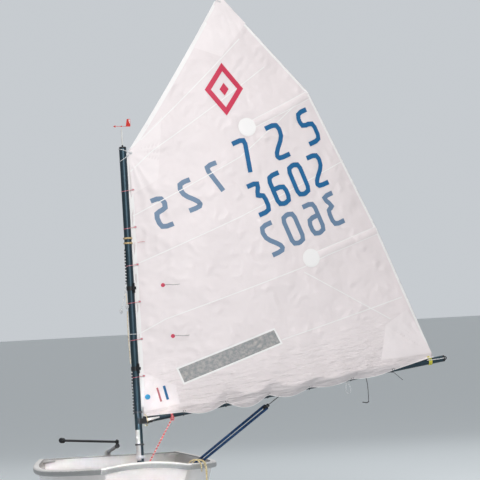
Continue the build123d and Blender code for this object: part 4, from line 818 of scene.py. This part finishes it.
def sail_edges():
    """White tapes round the sail and the window, and the bolt ropes of the luff and the foot."""
    head_in = (SAIL_ROWS[-1][1] - 0.004, SAIL_ROWS[-1][2] - 0.018)
    leech = [[float(row_values(share, column)) for column in (1, 2)] for share in (0.0, 1 / 3, 2 / 3, 1.0)]
    tapes = [
        ("luff_tape", [(LUFF_EDGE + 0.013, up) for up in np.linspace(0.05, LUFF - 0.01, 60)], 0.026),
        ("head_tape", [(TACK_OUT + 0.004, LUFF - 0.012), head_in], 0.026),
        ("leech_tape", [(out - 0.008, up - 0.004) for out, up in leech], 0.014),
    ]
    parts = [ribbon(name, route, flat_band(width, 0.0007), "tape") for name, route, width in tapes]
    parts.append(ribbon("window_rim", WINDOW, flat_band(WINDOW_RIM, 0.0012), "tape", closed=True))
    middle = sum((Vector(p) for p in WINDOW), Vector((0, 0))) / len(WINDOW)
    pane = [tuple(Vector(p) + (Vector(p) - middle).normalized() * WINDOW_RIM / 2) for p in WINDOW]
    parts.append(panel("window_pane", pane, "film", 0.0004, sides=(1,)))
    foot = [on_rig(*shelf(np.array(across), 1.0)) for across in np.linspace(0, 1, 97)]
    luff = cloth_points([(LUFF_EDGE + 0.001, up) for up in np.linspace(0.04, LUFF - 0.004, 57)], 0.0)
    for name, points in (("foot_rope", foot), ("luff_rope", luff)):
        parts.append(line(name, points, 0.0045, "tape"))
    return parts


SEAMS = [
    [(0.115, 1.692), (0.792, 2.300)],
    [(0.040, 1.500), (0.176, 1.620), (0.943, 2.120)],
    [(0.041, 1.226), (0.716, 1.557), (1.236, 1.958)],
    [(0.040, 0.926), (0.686, 1.185), (1.440, 1.520)],
    [(0.040, 0.500), (0.199, 0.581), (1.091, 0.860), (1.641, 1.084)],
    [(0.922, 0.416), (1.777, 0.651)],
    [(1.089, 0.829), (1.679, 0.516)],
]
PATCHES = [  # corner, and the patch's other corners, for its wide and its inner patch
    ("clew", [(1.806, 0.574), (1.641, 0.480), (1.592, 0.262)]),
    ("clew_inner", [(1.87, 0.45), (1.77, 0.40), (1.75, 0.285)]),
    ("tack", [(0.26, 0.055), (0.24, 0.17), (0.045, 0.26)]),
    ("tack_inner", [(0.15, 0.04), (0.14, 0.10), (0.045, 0.15)]),
    ("throat", [(0.045, 1.36), (0.20, 1.44), (0.25, 1.83)]),
    ("throat_inner", [(0.045, 1.47), (0.13, 1.52), (0.16, 1.74)]),
    ("peak", [(0.47, 2.26), (0.66, 2.19), (0.85, 2.40)]),
    ("peak_inner", [(0.57, 2.41), (0.68, 2.37), (0.77, 2.49)]),
]
TACK_PATCH_CORNER = (0.04, 0.02)
POCKETS = [[(0.781, 1.743), (1.228, 1.937)], [(1.143, 0.914), (1.632, 1.075)]]
POCKET_CROWN = [(-0.022, 0.0008), (-0.016, 0.0034), (0.016, 0.0034), (0.022, 0.0008)]
POCKET_SEAM_OUT = 0.0235


def seams_and_patches():
    """Seams, corner patches and the battens' pockets."""
    parts = []
    for index, route in enumerate(SEAMS):
        parts.append(ribbon(f"seam_{index}", route, flat_band(0.006, 0.0019), "tape"))
    for index, (name, others) in enumerate(PATCHES):
        corner = name.split("_")[0]
        corners = [TACK_PATCH_CORNER if corner == "tack" else CORNERS[corner]] + others
        parts.append(panel(f"{name}_patch", corners, "patch", 0.0008 + 0.0005 * (index % 2), 0.012))
    for index, route in enumerate(POCKETS):
        parts.append(ribbon(f"pocket_{index}", route, POCKET_CROWN, "sail", sides=(1,)))
        if not index:
            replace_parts(parts[-1], "battens")
        for place, side in enumerate((-POCKET_SEAM_OUT, POCKET_SEAM_OUT)):
            edge = [(side - 0.0025, 0.0010), (side + 0.0025, 0.0010)]
            parts.append(ribbon(f"pocket_seam_{index}_{place}", route, edge, "tape"))
        parts.append(disc(f"pocket_end_{index}", route[0], 0.058, "tape", lift=0.0042))
    return parts


# Plain digits: each a route in a cell one unit wide and high. The route of 0 is closed.
DIGITS = {
    0: [(0, 0), (1, 0), (1, 1), (0, 1)],
    2: [(0, 1), (1, 1), (1, 0.6), (0, 0.18), (0, 0), (1, 0)],
    3: [(0, 1), (1, 1), (0.42, 0.57), (1, 0.57), (1, 0), (0, 0)],
    5: [(0.95, 1), (0.05, 1), (0, 0.57), (1, 0.57), (1, 0), (0, 0)],
    6: [(1, 1), (0, 1), (0, 0), (1, 0), (1, 0.55), (0.06, 0.55)],
    7: [(0, 1), (1, 1), (0.36, 0)],
}
DIGIT_BEND = 0.034
DIGIT_WIDE = 0.43
DIGIT_STROKE = 0.030
NUMBERS = [  # name, digits, lower left corner, height, turn, step from digit to digit, mirrored
    ("sail_number", (7, 2, 5), (0.746, 1.448), 0.205, 21.0, (0.228, 0.089), False),
    ("sail_number_low", (3, 6, 0, 2), (0.811, 1.191), 0.190, 20.0, (0.142, 0.056), False),
    ("sail_number_far", (7, 2, 5), (0.202, 1.140), 0.178, 18.6, (0.172, 0.098), True),
    ("sail_number_far_low", (3, 6, 0, 2), (0.884, 0.940), 0.188, 21.5, (0.148, 0.058), True),
]
PRINT_LIFT = 0.0027
THROUGH_LIFT = 0.0010


def number(name, digits, start, tall, turn, step, mirrored):
    """Row of plain digits: bright on the side that it is read from, and on the other side a faint copy that
    is painted show-through, the print lit through the cloth.
    """
    way = Vector((math.cos(math.radians(turn)), math.sin(math.radians(turn))))
    rise = Vector((-way.y, way.x))
    parts = {1: [], -1: []}
    for place, digit in enumerate(reversed(digits) if mirrored else digits):
        corner = Vector(start) + Vector(step) * place
        cell = [(1 - x if mirrored else x, y) for x, y in DIGITS[digit]]
        route = [corner + way * x * tall * DIGIT_WIDE + rise * y * tall for x, y in cell]
        bent = rounded(route, DIGIT_BEND, digit == 0)
        for sign in parts:
            # The faint copy stands for the print seen through the lit cloth: painted show-through.
            through = (sign > 0) == mirrored
            look, lift = ("digit_through", THROUGH_LIFT) if through else ("digit", PRINT_LIFT)
            parts[sign].append(ribbon(f"{name}_{place}_{sign}", bent, flat_band(DIGIT_STROKE, lift), look,
                                      digit == 0, (sign,), 0.00001))
    return [joined(f"{name}_to_leeward", parts[1]), joined(f"{name}_to_windward", parts[-1])]


def printed_marks():
    """Digits, a plain diamond with its core, two strokes, a dot and the telltales."""
    parts = []
    for values in NUMBERS:
        parts += number(*values)
    for side, sign in (("to_leeward", 1), ("to_windward", -1)):
        diamond = [(0.656, 1.845), (0.762, 1.985), (0.656, 2.125), (0.550, 1.985)]
        parts.append(ribbon(f"motif_{side}", diamond, flat_band(0.032, PRINT_LIFT), "motif", True, (sign,)))
    core = [(0.656, 1.945), (0.686, 1.985), (0.656, 2.025), (0.626, 1.985)]
    parts.append(panel("motif_core", core, "motif", PRINT_LIFT))
    strokes = [
        ("mark_blue", [(0.168, 0.172), (0.190, 0.086)], 0.016, "digit"),
        ("mark_red", [(0.126, 0.162), (0.148, 0.076)], 0.012, "mark_red"),
    ]
    for name, route, width, look in strokes:
        parts.append(ribbon(name, route, flat_band(width, 0.0016), look, sides=(1,)))
    parts.append(disc("sail_mark", (0.066, 0.109), 0.0165, "dot", lift=0.0024))
    for index, (out, up) in enumerate(((0.191, 0.790), (0.236, 0.474))):
        parts.append(disc(f"telltale_dot_{index}", (out, up), 0.0125, "motif"))
        yarn = [(out, up), (out + 0.035, up + 0.004), (out + 0.07, up - 0.004), (out + 0.10, up + 0.001)]
        parts.append(line(f"telltale_{index}", cloth_points(yarn, 0.003), 0.0020, "dark_line"))
    return parts


# Eyelets and ties

def luff_eyelet_at(up):
    """Place (out, up) of a luff eyelet, on the sail's own slope there."""
    share = up / LUFF
    slope = float((row_values(share, 2) - up) / (row_values(share, 1) - TACK_OUT))
    return TACK_OUT + LUFF_EYELET_OUT, up + slope * LUFF_EYELET_OUT


def foot_eyelet_at(out):
    """Place, in the rig's distances, of an eyelet just inside the foot's edge."""
    height = float(foot_edge(np.array(out))) + FOOT_EYELET_UP
    lee = float(tucked(np.array(0.0), np.array(out), np.array(height)))
    return lee, out, boom_height(out) + height


def eyelets():
    """Pressed eyelets: rings on both sides of the cloth at the luff, and on the boom's face at the foot."""
    parts = []
    for index, up in enumerate(LUFF_TIES):
        rims = []
        for sign in BOTH_SIDES:
            points = cloth_points(ring(luff_eyelet_at(up), 0.0080, 20), sign * 0.0012)
            name = f"luff_eyelet_{index}_{sign}"
            rims.append(line(name, points, EYELET_TUBE, "steel", closed=True))
        parts.append(joined(f"luff_eyelet_{index}", rims))
    for index, place in enumerate(FOOT_TIES):
        lee, out, up = foot_eyelet_at(place)
        points = [on_rig(lee + EYELET_TUBE, x, y) for x, y in ring((out, up), 0.0075, 20)]
        parts.append(line(f"foot_eyelet_{index}", points, EYELET_TUBE, "steel", closed=True))
    return parts


def around(post_radius, centre, bend, count=9):
    """Belt-like route round a post on the axis and a bend at a second place, in their plane."""
    x, y = centre
    aim = math.atan2(y, x)
    lean = math.acos(max(-1.0, min(1.0, (post_radius - bend) / math.hypot(x, y))))
    route = []
    for step in range(count):
        angle = aim + lean + (2 * math.pi - 2 * lean) * step / (count - 1)
        route.append((post_radius * math.cos(angle), post_radius * math.sin(angle)))
    for step in range(count):
        angle = aim - lean + 2 * lean * step / (count - 1)
        route.append((x + bend * math.cos(angle), y + bend * math.sin(angle)))
    return route


def knot(name, centre, spread, diameter, look, count=10):
    """Twist of line round a place of the rig. The rows of its spread say how much of a turn's cosine,
    its sine and its double's sine go to leeward, out and up."""
    turns = [2 * math.pi * step / count for step in range(count)]
    twist = [Matrix(spread) @ Vector((math.cos(k), math.sin(k), math.sin(2 * k))) for k in turns]
    return line(name, [on_rig(*(Vector(centre) + p)) for p in twist], diameter, look, closed=True)


def luff_ties():
    """Lashings of the luff: a loop from each eyelet round the mast, with its knot."""
    made = []
    for index, up in enumerate(LUFF_TIES):
        share = up / LUFF
        lee = float(cloth(LUFF_EYELET_OUT / (row_values(share, 1) - TACK_OUT), share)[0])
        out, height = luff_eyelet_at(up)
        hole, height = Vector((lee, out)), TACK_UP_MAST + height
        centre = hole * ((hole.length - LUFF_TIE_BEND) / hole.length)
        throat = index == len(LUFF_TIES) - 1
        look, diameter = ("white_line", 0.0042) if throat else ("pink_line", 0.0034)
        for turn, tilt in enumerate((-0.35, 0.65) if throat else (0.12,)):
            route = around(MAST_RADIUS + TIE_GAP, centre, LUFF_TIE_BEND)
            points = [on_rig(x, y, height + tilt * (y - hole.y)) for x, y in route]
            made.append(line(f"luff_tie_{index}_{turn}", points, diameter, look, closed=True))
        spread = ((0, 0, 0), (0.005, 0, 0), (0, 0, 0.004))
        knot(f"luff_knot_{index}", (hole.x + 0.004, hole.y, height), spread, 0.004, look)
    tail = [(0.032, 0.052, 1.623), (0.036, 0.078, 1.628), (0.034, 0.098, 1.626)]
    line("luff_tail", [on_rig(*p) for p in tail], 0.003, "pink_line")
    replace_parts(made[0], "luff_ties")


def foot_ties():
    """Lashings of the foot: loops from each eyelet round the boom, with two short tails."""
    made = []
    rise, run = math.sin(BOOM_RISE), math.cos(BOOM_RISE)
    for index, out in enumerate(FOOT_TIES):
        lee, _, up = foot_eyelet_at(out)
        distance = out * run + (up - BOOM_UP_MAST) * rise
        hole = Vector((lee + 0.004, -out * rise + (up - BOOM_UP_MAST) * run))
        centre = hole * ((hole.length - FOOT_TIE_BEND) / hole.length)
        clew = index == len(FOOT_TIES) - 1
        look = "yellow_line" if clew else "dark_line"
        for turn, shift in enumerate((-0.0045, 0.0, 0.0045) if clew else (0.0,)):
            route = around(BOOM_RADIUS + TIE_GAP, centre, FOOT_TIE_BEND)
            points = [on_boom(distance + shift, y, x) for x, y in route]
            made.append(line(f"foot_tie_{index}_{turn}", points, 0.004, look, closed=True))
        for side in (-1, 1):
            tail = [on_boom(distance + side * along, hole.y + up, hole.x + lee)
                    for along, up, lee in ((0, 0, 0.003), (0.005, 0.003, 0.008), (0.008, -0.009, 0.009))]
            line(f"foot_tail_{index}_{side + 1}", tail, 0.003, look)
    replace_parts(made[0], "foot_ties")


# Lines of the rig

WRAPS = [  # name, on the boom, first place along the spar, turns, pitch, line's diameter, look
    ("vang_lashing", True, 0.209, 3, 0.0050, 0.0050, "red_line"),
    ("boom_mark", True, 1.962, 2, 0.0050, 0.0050, "yellow_line"),
    ("tan_band_low", False, 1.620, 2, 0.0050, 0.0060, "tan_line"),
    ("tan_band_high", False, 1.650, 2, 0.0050, 0.0060, "tan_line"),
    ("tack_lashing", False, 0.578, 2, 0.0060, 0.0060, "dark_line"),
    ("mast_tie", False, 0.380, 2, 0.0050, 0.0050, "dark_line"),
    ("mast_tie_low", False, 0.300, 3, 0.0060, 0.0060, "white_line"),
]
BOOM_WRAP = BOOM_RADIUS + 0.0035
MAST_WRAP = MAST_RADIUS + 0.004
BOOM_LINES = [  # name, diameter, look, places along the boom, up and to leeward of it
    ("hook_line", 0.0045, "dark_line",
     [(1.520, -0.020, 0.0), (1.521, -0.060, 0.003), (1.512, -0.125, 0.006), (1.504, -0.170, 0.006)]),
    ("hook", 0.0065, "dark_line",
     [(1.506, -0.168, 0.006), (1.496, -0.176, 0.006), (1.480, -0.172, 0.006), (1.464, -0.166, 0.006)]),
    ("slack_loop", 0.0035, "white_line",
     [(1.388, -0.018, 0.004), (1.372, -0.052, 0.010), (1.366, -0.082, 0.012), (1.384, -0.098, 0.012),
      (1.402, -0.082, 0.010), (1.402, -0.050, 0.006), (1.394, -0.018, 0.0)]),
    ("loose_end", 0.0030, "dark_line",
     [(1.702, -0.018, 0.004), (1.726, -0.046, 0.006), (1.757, -0.081, 0.006)]),
    ("outhaul", 0.0050, "white_line",
     [(1.932, 0.010, 0.030), (1.965, 0.006, 0.029), (2.010, 0.003, 0.028), (2.050, 0.002, 0.022),
      (2.066, 0.002, 0.008), (2.066, -0.004, -0.010), (2.030, -0.008, -0.026), (1.960, -0.006, -0.030)]),
]
MAST_LINES = [  # name, diameter, look, places to leeward, out from the mast's windward face and up it
    ("upper_tail", 0.0075, "flecked_line",
     [(0.006, 0, 1.585), (0.008, -0.003, 1.50), (0.006, -0.001, 1.42), (0.004, -0.004, 1.370)]),
    ("upper_loop", 0.0060, "white_line",
     [(0.004, -0.002, 1.372), (0.006, -0.012, 1.355), (0.006, -0.014, 1.330), (0.004, -0.006, 1.312),
      (0.0, -0.004, 1.335)]),
    ("end_left", 0.0066, "white_line",
     [(0.006, -0.012, 1.318), (0.008, -0.022, 1.290), (0.008, -0.034, 1.255), (0.006, -0.046, 1.210)]),
    ("end_right", 0.0060, "pale_line",
     [(0.006, -0.010, 1.316), (0.012, -0.006, 1.285), (0.012, -0.008, 1.235)]),
    ("sprit_tackle", 0.0075, "pale_line",
     [(0.008, -0.006, 1.205), (0.007, -0.010, 1.12), (0.006, -0.008, 1.00), (0.004, -0.004, 0.880)]),
    ("lower_tail", 0.0075, "flecked_line",
     [(0.006, 0, 0.832), (0.008, -0.004, 0.74), (0.007, -0.001, 0.66), (0.004, -0.004, 0.570)]),
]
MAST_KNOTS = [("knot_left", (0.006, -0.046, 1.206)), ("knot_right", (0.012, -0.008, 1.231))]
MAST_FACE = -(MAST_RADIUS + 0.003)
VANG_TOP = boom_at(0.214, -BOOM_RADIUS - 0.004, 0.012)
VANG_FOOT = (0.010, MAST_RADIUS + 0.010, 0.238)
VANG_DIAMETER = 0.0044
BOOM_STRAP = [  # place along the boom, to leeward of it, half width
    (0.044, 0.0345, 0.0085),
    (0.089, 0.0345, 0.0080),
    (0.094, 0.0225, 0.0070),
    (0.132, 0.0215, 0.0035),
]


def spar_lashings():
    """Lines that are wound round the spars: turns side by side along the mast or the boom."""
    for name, of_boom, first, turns, pitch, diameter, look in WRAPS:
        parts = []
        for turn in range(turns):
            place = first + pitch * turn
            if of_boom:
                points = [on_boom(place, y, x) for x, y in ring((0, 0), BOOM_WRAP)]
            else:
                points = [on_rig(x, y, place) for x, y in ring((0, 0), MAST_WRAP)]
            parts.append(line(f"{name}_{turn}", points, diameter, look, closed=True))
        joined(name, parts)


def spar_lines():
    """Loose lines of the boom, and the sprit's ropes down the mast's windward face."""
    tack = [on_boom(0.048, y, x) for x, y in ring((0.0, -0.002), 0.036)]
    line("tack_loop", tack, 0.0045, "cream_line", closed=True)
    for name, diameter, look, places in BOOM_LINES:
        line(name, [on_boom(*place) for place in places], diameter, look)
    for name, diameter, look, places in MAST_LINES:
        line(name, [on_rig(lee, MAST_FACE + out, up) for lee, out, up in places], diameter, look)
    for name, (lee, out, up) in MAST_KNOTS:
        spread = ((0, 0, 0.005), (0.006, 0, 0), (0, 0.010, 0))
        knot(name, (lee, MAST_FACE + out, up), spread, 0.0100, "white_line")


def vang():
    """Tackle that holds the boom down, from its lashing to the mast's foot."""
    for index, shift in enumerate((-0.0023, 0.0023)):
        a, b = (on_rig(lee + shift, out + shift, up) for lee, out, up in (VANG_TOP, VANG_FOOT))
        line(f"vang_{index}", [a.lerp(b, step / 6) for step in range(7)], VANG_DIAMETER, "red_white_line")
    low_knot = (VANG_FOOT[0], VANG_FOOT[1], VANG_FOOT[2] + 0.016)
    for name, place, size in (("vang_knot_high", VANG_TOP, 0.010), ("vang_knot", low_knot, 0.009)):
        knot(name, place, ((size, 0, 0), (0, size, 0), (0, 0, size)), size, "red_line", 12)
    low, out = VANG_FOOT[2] - 0.006, MAST_RADIUS + 0.007
    eye = [on_rig(VANG_FOOT[0], y, x) for x, y in ring((low, out), 0.012)]
    line("vang_eye", eye, 0.005, "steel", closed=True)


def mast_sleeves():
    """Strap on the jaws and the boom by the mast, the vane staff's tube, and the mast's plain sleeve."""
    points = [on_boom(place, side * half, lee) for place, lee, half in BOOM_STRAP for side in (-1, 1)]
    made = [mesh("boom_strap", points, grid_faces(2, len(BOOM_STRAP)), "tape")]
    staff = [on_rig(0, 0, MAST_LENGTH + up) for up in (0.016, 0.112)]
    line("staff_tube", staff, 0.0095, "staff", sharp=True)
    heights = [0.285 + 0.0235 * step for step in range(9)]
    angles = [math.radians(-104 + 11 * step) for step in range(10)]
    radius = MAST_RADIUS + 0.0006
    points = [on_rig(radius * math.cos(a), radius * math.sin(a), up) for up in heights for a in angles]
    made.append(mesh("mast_sleeve", points, grid_faces(len(angles), len(heights)), "sleeve"))
    for thing in made:
        solid(thing, "SOLIDIFY", thickness=0.001, offset=0)


def box_middle(name):
    """Middle of a node's box."""
    return sum((Vector(corner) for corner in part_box(name)), Vector()) / 2


def sheet_tube(low, high, swing, radius):
    """Points of a straight tube's two end rings, which stand square to it when the rig has swung so far."""
    turn = Matrix.Rotation(math.radians(swing), 3, MAST_UP)
    aim = (MAST_FOOT + turn @ (high - MAST_FOOT) - low).to_track_quat("Z", "X")
    rim = [aim @ Vector((x, y, 0)) for x, y in ring((0, 0), radius, SHEET_SIDES)]
    return [low + p for p in rim] + [high + turn.inverted() @ p for p in rim]


def mainsheet():
    """Blue sheet between its two blocks. It has points at its ends only, so that it stays straight as
    the rig swings; each part nests tubes for several swings, so that it keeps its width."""
    low, high = box_middle("ratchet_block"), box_middle("bridle_block")
    side = (high - low).cross(Vector((1, 0, 0))).normalized()
    for index, sign in enumerate((-1, 1)):
        a, b = low + side * sign * SHEET_APART[0], high + side * sign * SHEET_APART[1]
        points, faces = [], []
        for place, swing in enumerate(SHEET_SWINGS):
            first = len(points)
            points += sheet_tube(a, b, swing, SHEET_DIAMETER / 2 - 0.0002 * place)
            middle = first + SHEET_SIDES
            faces += grid_faces(SHEET_SIDES, 2, first, round_across=True)
            faces += [range(first, middle)[::-1], range(middle, len(points))]
        rope = mesh(f"mainsheet_{index}", points, faces, "sheet_line", "")
        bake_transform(rope)


# Painter

def coil_points():
    """Points of the coil's turns, from the route's end on its top down to the floor."""
    centre = box_middle("painter_coil")
    tilt = Quaternion((0, 1, 0), COIL_TILT)
    slots = []
    for index, count in enumerate(COIL_LAYERS):
        row = COIL_ACROSS[count] if index % 2 else COIL_ACROSS[count][::-1]
        slots += [(across, COIL_TOP - COIL_STEP_DOWN * index) for across in row]
    points = []
    start = math.atan2(PAINTER_POINTS[-1][1] - centre.y, PAINTER_POINTS[-1][0] - centre.x)
    steps = 14
    for here, after in zip(slots, slots[1:] + slots[-1:]):
        for step in range(steps):
            across, height = (a + (b - a) * step / steps for a, b in zip(here, after))
            angle = start - 2 * math.pi * (step + 2) / steps
            radius = COIL_RADIUS + across
            place = Vector((radius * math.cos(angle), radius * math.sin(angle), height))
            points.append(tuple(centre + tilt @ place))
    return points


def painter():
    """Bow line: tied off at the thwart, over the gunwale, and coiled on the floor in the bow."""
    points = PAINTER_POINTS + coil_points()
    rope = line("painter", points, PAINTER_DIAMETER, "cream_line", "hull")
    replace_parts(rope, "painter_line", "painter_coil")


# Hull

STRAP_COLUMNS = (-1.0, -0.84, -0.76, 0.76, 0.84, 1.0)
BAG_AROUND = 48
BAG_ALONG = 96


def webbing(name, route, across, width, closed=False):
    """Flat woven strap along a route, its width along a fixed direction, with bevelled edges."""
    across = Vector(across).normalized() * width / 2
    points = [Vector(place) + across * column for place in route for column in STRAP_COLUMNS]
    faces = grid_faces(len(STRAP_COLUMNS), len(route), round_up=closed)
    made = mesh(name, points, faces, "webbing", "hull")
    solid(made, "SOLIDIFY", thickness=0.0024, offset=0)
    return solid(made, "BEVEL", width=0.0008, segments=2)


def bag_axis(name):
    """Middle of a bag's axis, the way along it and its length, from the solid that it fills."""
    points = np.array([v.co for v in nodes[name].data.vertices])
    way = int(np.argmax(np.ptp(points, axis=0)))
    order = np.argsort(points[:, way])
    few = len(points) // 8
    a, b = Vector(points[order[:few]].mean(axis=0)), Vector(points[order[-few:]].mean(axis=0))
    aim = (b - a).normalized()
    along = (points - np.array((a + b) / 2)) @ np.array(aim)
    return (a + b) / 2 + aim * float(along.max() + along.min()) / 2, aim, float(np.ptp(along))


def bag_points(middle, aim, side, top, length, straps):
    """Points of a taut tube with flat welded ends, nipped under its straps."""
    points = []
    for row in range(BAG_ALONG + 1):
        place = (row / BAG_ALONG - 0.5) * length
        end = max(0.0, 1 - (length / 2 - abs(place)) / BAG_END)
        full = math.sqrt(1 - end ** 2)
        nip = 0.0035 * sum(math.exp(-((place - strap) / 0.026) ** 2) for strap in straps)
        for step in range(BAG_AROUND):
            angle = 2 * math.pi * step / BAG_AROUND
            crease = end * 0.0022 * math.sin(13 * angle + 0.7) + 0.0008 * math.sin(5 * angle + 23 * place)
            high = BAG_SKIN * (0.05 + 0.95 * full) - nip + crease
            wide = BAG_SKIN * (0.60 + 0.40 * full) - nip + crease * full
            points.append(middle + aim * place + side * wide * math.cos(angle) + top * high * math.sin(angle))
    return points


def air_bag(name, straps):
    """Blown-up bag with its welds, its valve and the straps that hold it down; returns the straps."""
    middle, aim, length = bag_axis(name)
    side = aim.cross(Vector((0, 0, 1))).normalized()
    top = side.cross(aim)
    points = bag_points(middle, aim, side, top, length, straps)
    faces = grid_faces(BAG_AROUND, BAG_ALONG + 1, round_across=True)
    faces += [range(BAG_AROUND)[::-1], range(BAG_ALONG * BAG_AROUND, len(points))]
    made = mesh(f"{name}_blown", points, faces, "bag", "hull")
    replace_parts(made, name)
    welds = []
    for sign in (-1, 1):
        beside = middle + side * sign * (BAG_RADIUS - 0.003)
        edge = [beside + aim * (length * (k / 24 - 0.5) * 0.80) for k in range(25)]
        welds.append(line(f"{name}_weld_{sign}", edge, 0.005, "bag", "hull"))
    joined(f"{name}_welds", welds)
    stem = middle + aim * (length * 0.36) + top * (BAG_RADIUS - 0.004)
    for part, diameter, low, high in (("valve", 0.032, 0.0, 0.006), ("valve_cap", 0.022, 0.005, 0.012)):
        ends = [stem + top * low, stem + top * high]
        line(f"{name}_{part}", ends, diameter, "black", "hull", sharp=True)
    made = []
    for index, strap in enumerate(straps):
        centre = middle + aim * strap
        route = [centre + side * x + top * y for x, y in ring((0, 0), BAG_RADIUS + 0.0005, 40)]
        made.append(webbing(f"{name}_strap_{index}", route, aim, STRAP_WIDTH, closed=True))
        foot = [centre - top * (BAG_RADIUS + STRAP_FEET[name] * step / 3) for step in range(4)]
        made.append(webbing(f"{name}_foot_{index}", foot, aim, STRAP_WIDTH))
        buckle = [centre + side * 0.036 * sign + top * (BAG_RADIUS * 0.930) for sign in (-1, 1)]
        line(f"{name}_buckle_{index}", buckle, 0.006, "black", "hull", sharp=True)
    return made


def hull_straps():
    """Air bags with their straps, and the two straps that the crew's feet hook under."""
    made = air_bag("air_bag_port", SIDE_STRAPS)
    made += air_bag("air_bag_starboard", SIDE_STRAPS)
    made += air_bag("air_bag_stern", STERN_STRAPS)
    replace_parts(joined("bag_webbing", made), "bag_straps")
    route = subdivided(rounded(TOE_STRAP_ROUTE, 0.018), 0.03)
    made = []
    for side in (-1, 1):
        places = [(p.x, side * TOE_STRAP_OUT, p.y) for p in route]
        made.append(webbing(f"toe_strap_{side}", places, (0, 1, 0), TOE_STRAP_WIDTH))
    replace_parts(joined("toe_webbing", made), "toe_straps")


def vane_stripe():
    """White stripe on both faces of the vane's fin."""
    corners = [v.co for v in nodes["wind_vane"].data.vertices]
    top = max(corner.z for corner in corners)
    edge = sorted((corner for corner in corners if corner.z > top - 0.001), key=lambda corner: corner.y)
    way = edge[-1] - edge[0]
    face = way.cross(Vector((0, 0, 1))).normalized() * 0.0013
    outline = [(0.50, 0.004), (0.86, 0.004), (0.86, 0.036), (0.42, 0.036)]
    corners = [edge[0] + way * share - Vector((0, 0, down)) for share, down in outline]
    points = [corner + face * side for side in (-1, 1) for corner in corners]
    faces = [(3, 2, 1, 0), (4, 5, 6, 7)] + grid_faces(4, 2, round_across=True)
    mesh("vane_stripe", points, faces, "tape", "vane", smooth=False)


def dress_nodes():
    """Materials of the model's own nodes."""
    looks = {
        "hull": ["hull_shell"],
        "gunwale": ["gunwale_port", "gunwale_starboard", "gunwale_bow", "gunwale_stern"],
        "inner": ["mast_thwart", "mast_step", "daggerboard_case", "midship_frame", "stern_knees"],
        "steel": ["gudgeon_upper", "gudgeon_lower", "pintles"],
        "black": ["ratchet_base", "ratchet_block", "bridle_block", "masthead_plug", "mast_fittings",
                  "boom_jaws", "boom_end_cap", "sprit_fittings", "tiller_joint", "extension_eye",
                  "extension_knob"],
        "spar": ["mast", "boom", "sprit"],
        "staff": ["vane_staff"],
        "red": ["wind_vane"],
        "white_line": ["spar_ties"],
        "dark_line": ["boom_bridle"],
        "foil": ["daggerboard", "rudder_blade"],
        "trim": ["board_handle", "rudder_head"],
        "tube": ["tiller", "extension_tube"],
    }
    for look, names in looks.items():
        for name in names:
            nodes[name].data.materials.clear()
            nodes[name].data.materials.append(LOOKS[look])


# Floor and light

FLOOR_REACH = 400.0
FLOOR_GLOW = 0.22
LIT_MIDDLE = (0.0, 0.6, 1.2)
LAMPS = [  # name, place, aim, size, power, spread
    ("lamp_ahead", (12.0, 0.6, 5.4), LIT_MIDDLE, 2.8, 905.0, 180.0),
    ("lamp_above", (1.5, 0.6, 11.5), LIT_MIDDLE, 4.0, 330.0, 180.0),
    ("lamp_behind", (-9.0, 3.0, 8.0), LIT_MIDDLE, 5.0, 150.0, 180.0),
    ("lamp_stern", (8.0, -0.25, 1.15), (-1.1, 0.05, 0.22), 0.5, 0.6, 5.5),
]


def floor():
    """Pale floor in the plane of the water, open where the hull floats in it."""
    shell = nodes["hull_shell"].data
    cut = []
    for edge in shell.edges:
        a, b = (shell.vertices[i].co for i in edge.vertices)
        if (a.z < 0) != (b.z < 0):
            cut.append((a + (b - a) * (a.z / (a.z - b.z))).to_2d())
    outline = [cut[i] for i in convex_hull_2d(cut)]
    middle = sum(outline, Vector((0, 0))) / len(outline)
    hole = [(middle + (p - middle) * 0.992).to_3d() for p in outline]
    edge = [Vector((x, y, 0)) * FLOOR_REACH for x, y in ((-1, -1), (1, -1), (1, 1), (-1, 1))]
    made, tree, shader = material("floor", (0.62, 0.66, 0.68), 0.7)
    shader.inputs["Emission Color"].default_value = (0.80, 0.86, 0.90, 1)
    tree.links.new(maths(tree, "MULTIPLY", seen_rays(tree), FLOOR_GLOW), shader.inputs["Emission Strength"])
    LOOKS["floor"] = made
    mesh("floor", edge + hole, tessellate_polygon([edge, hole]), "floor", "", smooth=False)


def lights():
    """Plain soft light: an even sky, broad lamps ahead, above and behind, and a weak one on the stern."""
    world = bpy.data.worlds.new("sky")
    bpy.context.scene.world = world
    world.use_nodes = True
    tree = world.node_tree
    sky = tree.nodes["Background"]
    sky.inputs["Color"].default_value = (0.97, 0.99, 1.0, 1)
    sky.inputs["Strength"].default_value = 0.20
    seen = node(tree, "Background", {"Color": (0.57, 0.60, 0.63, 1), "Strength": 1.0})
    shaders = {0: seen_rays(tree), 1: sky.outputs["Background"], 2: seen.outputs["Background"]}
    mix = node(tree, "MixShader", shaders)
    tree.links.new(mix.outputs["Shader"], tree.nodes["World Output"].inputs["Surface"])
    for name, place, aim, size, power, spread in LAMPS:
        data = bpy.data.lights.new(name, "AREA")
        data.size = size
        data.energy = power
        data.spread = math.radians(spread)
        lamp = bpy.data.objects.new(name, data)
        lamp.location = place
        lamp.rotation_euler = (Vector(aim) - Vector(place)).to_track_quat("-Z", "Y").to_euler()
        bpy.context.scene.collection.objects.link(lamp)


bpy.context.scene.view_settings.view_transform = "Standard"
camera()
painter()
sheet, sheet_area = sail()
layers = sail_edges() + seams_and_patches() + printed_marks() + eyelets()
luff_ties()
foot_ties()
spar_lashings()
spar_lines()
vang()
mast_sleeves()
mainsheet()
hull_straps()
vane_stripe()
dress_nodes()
floor()
lights()
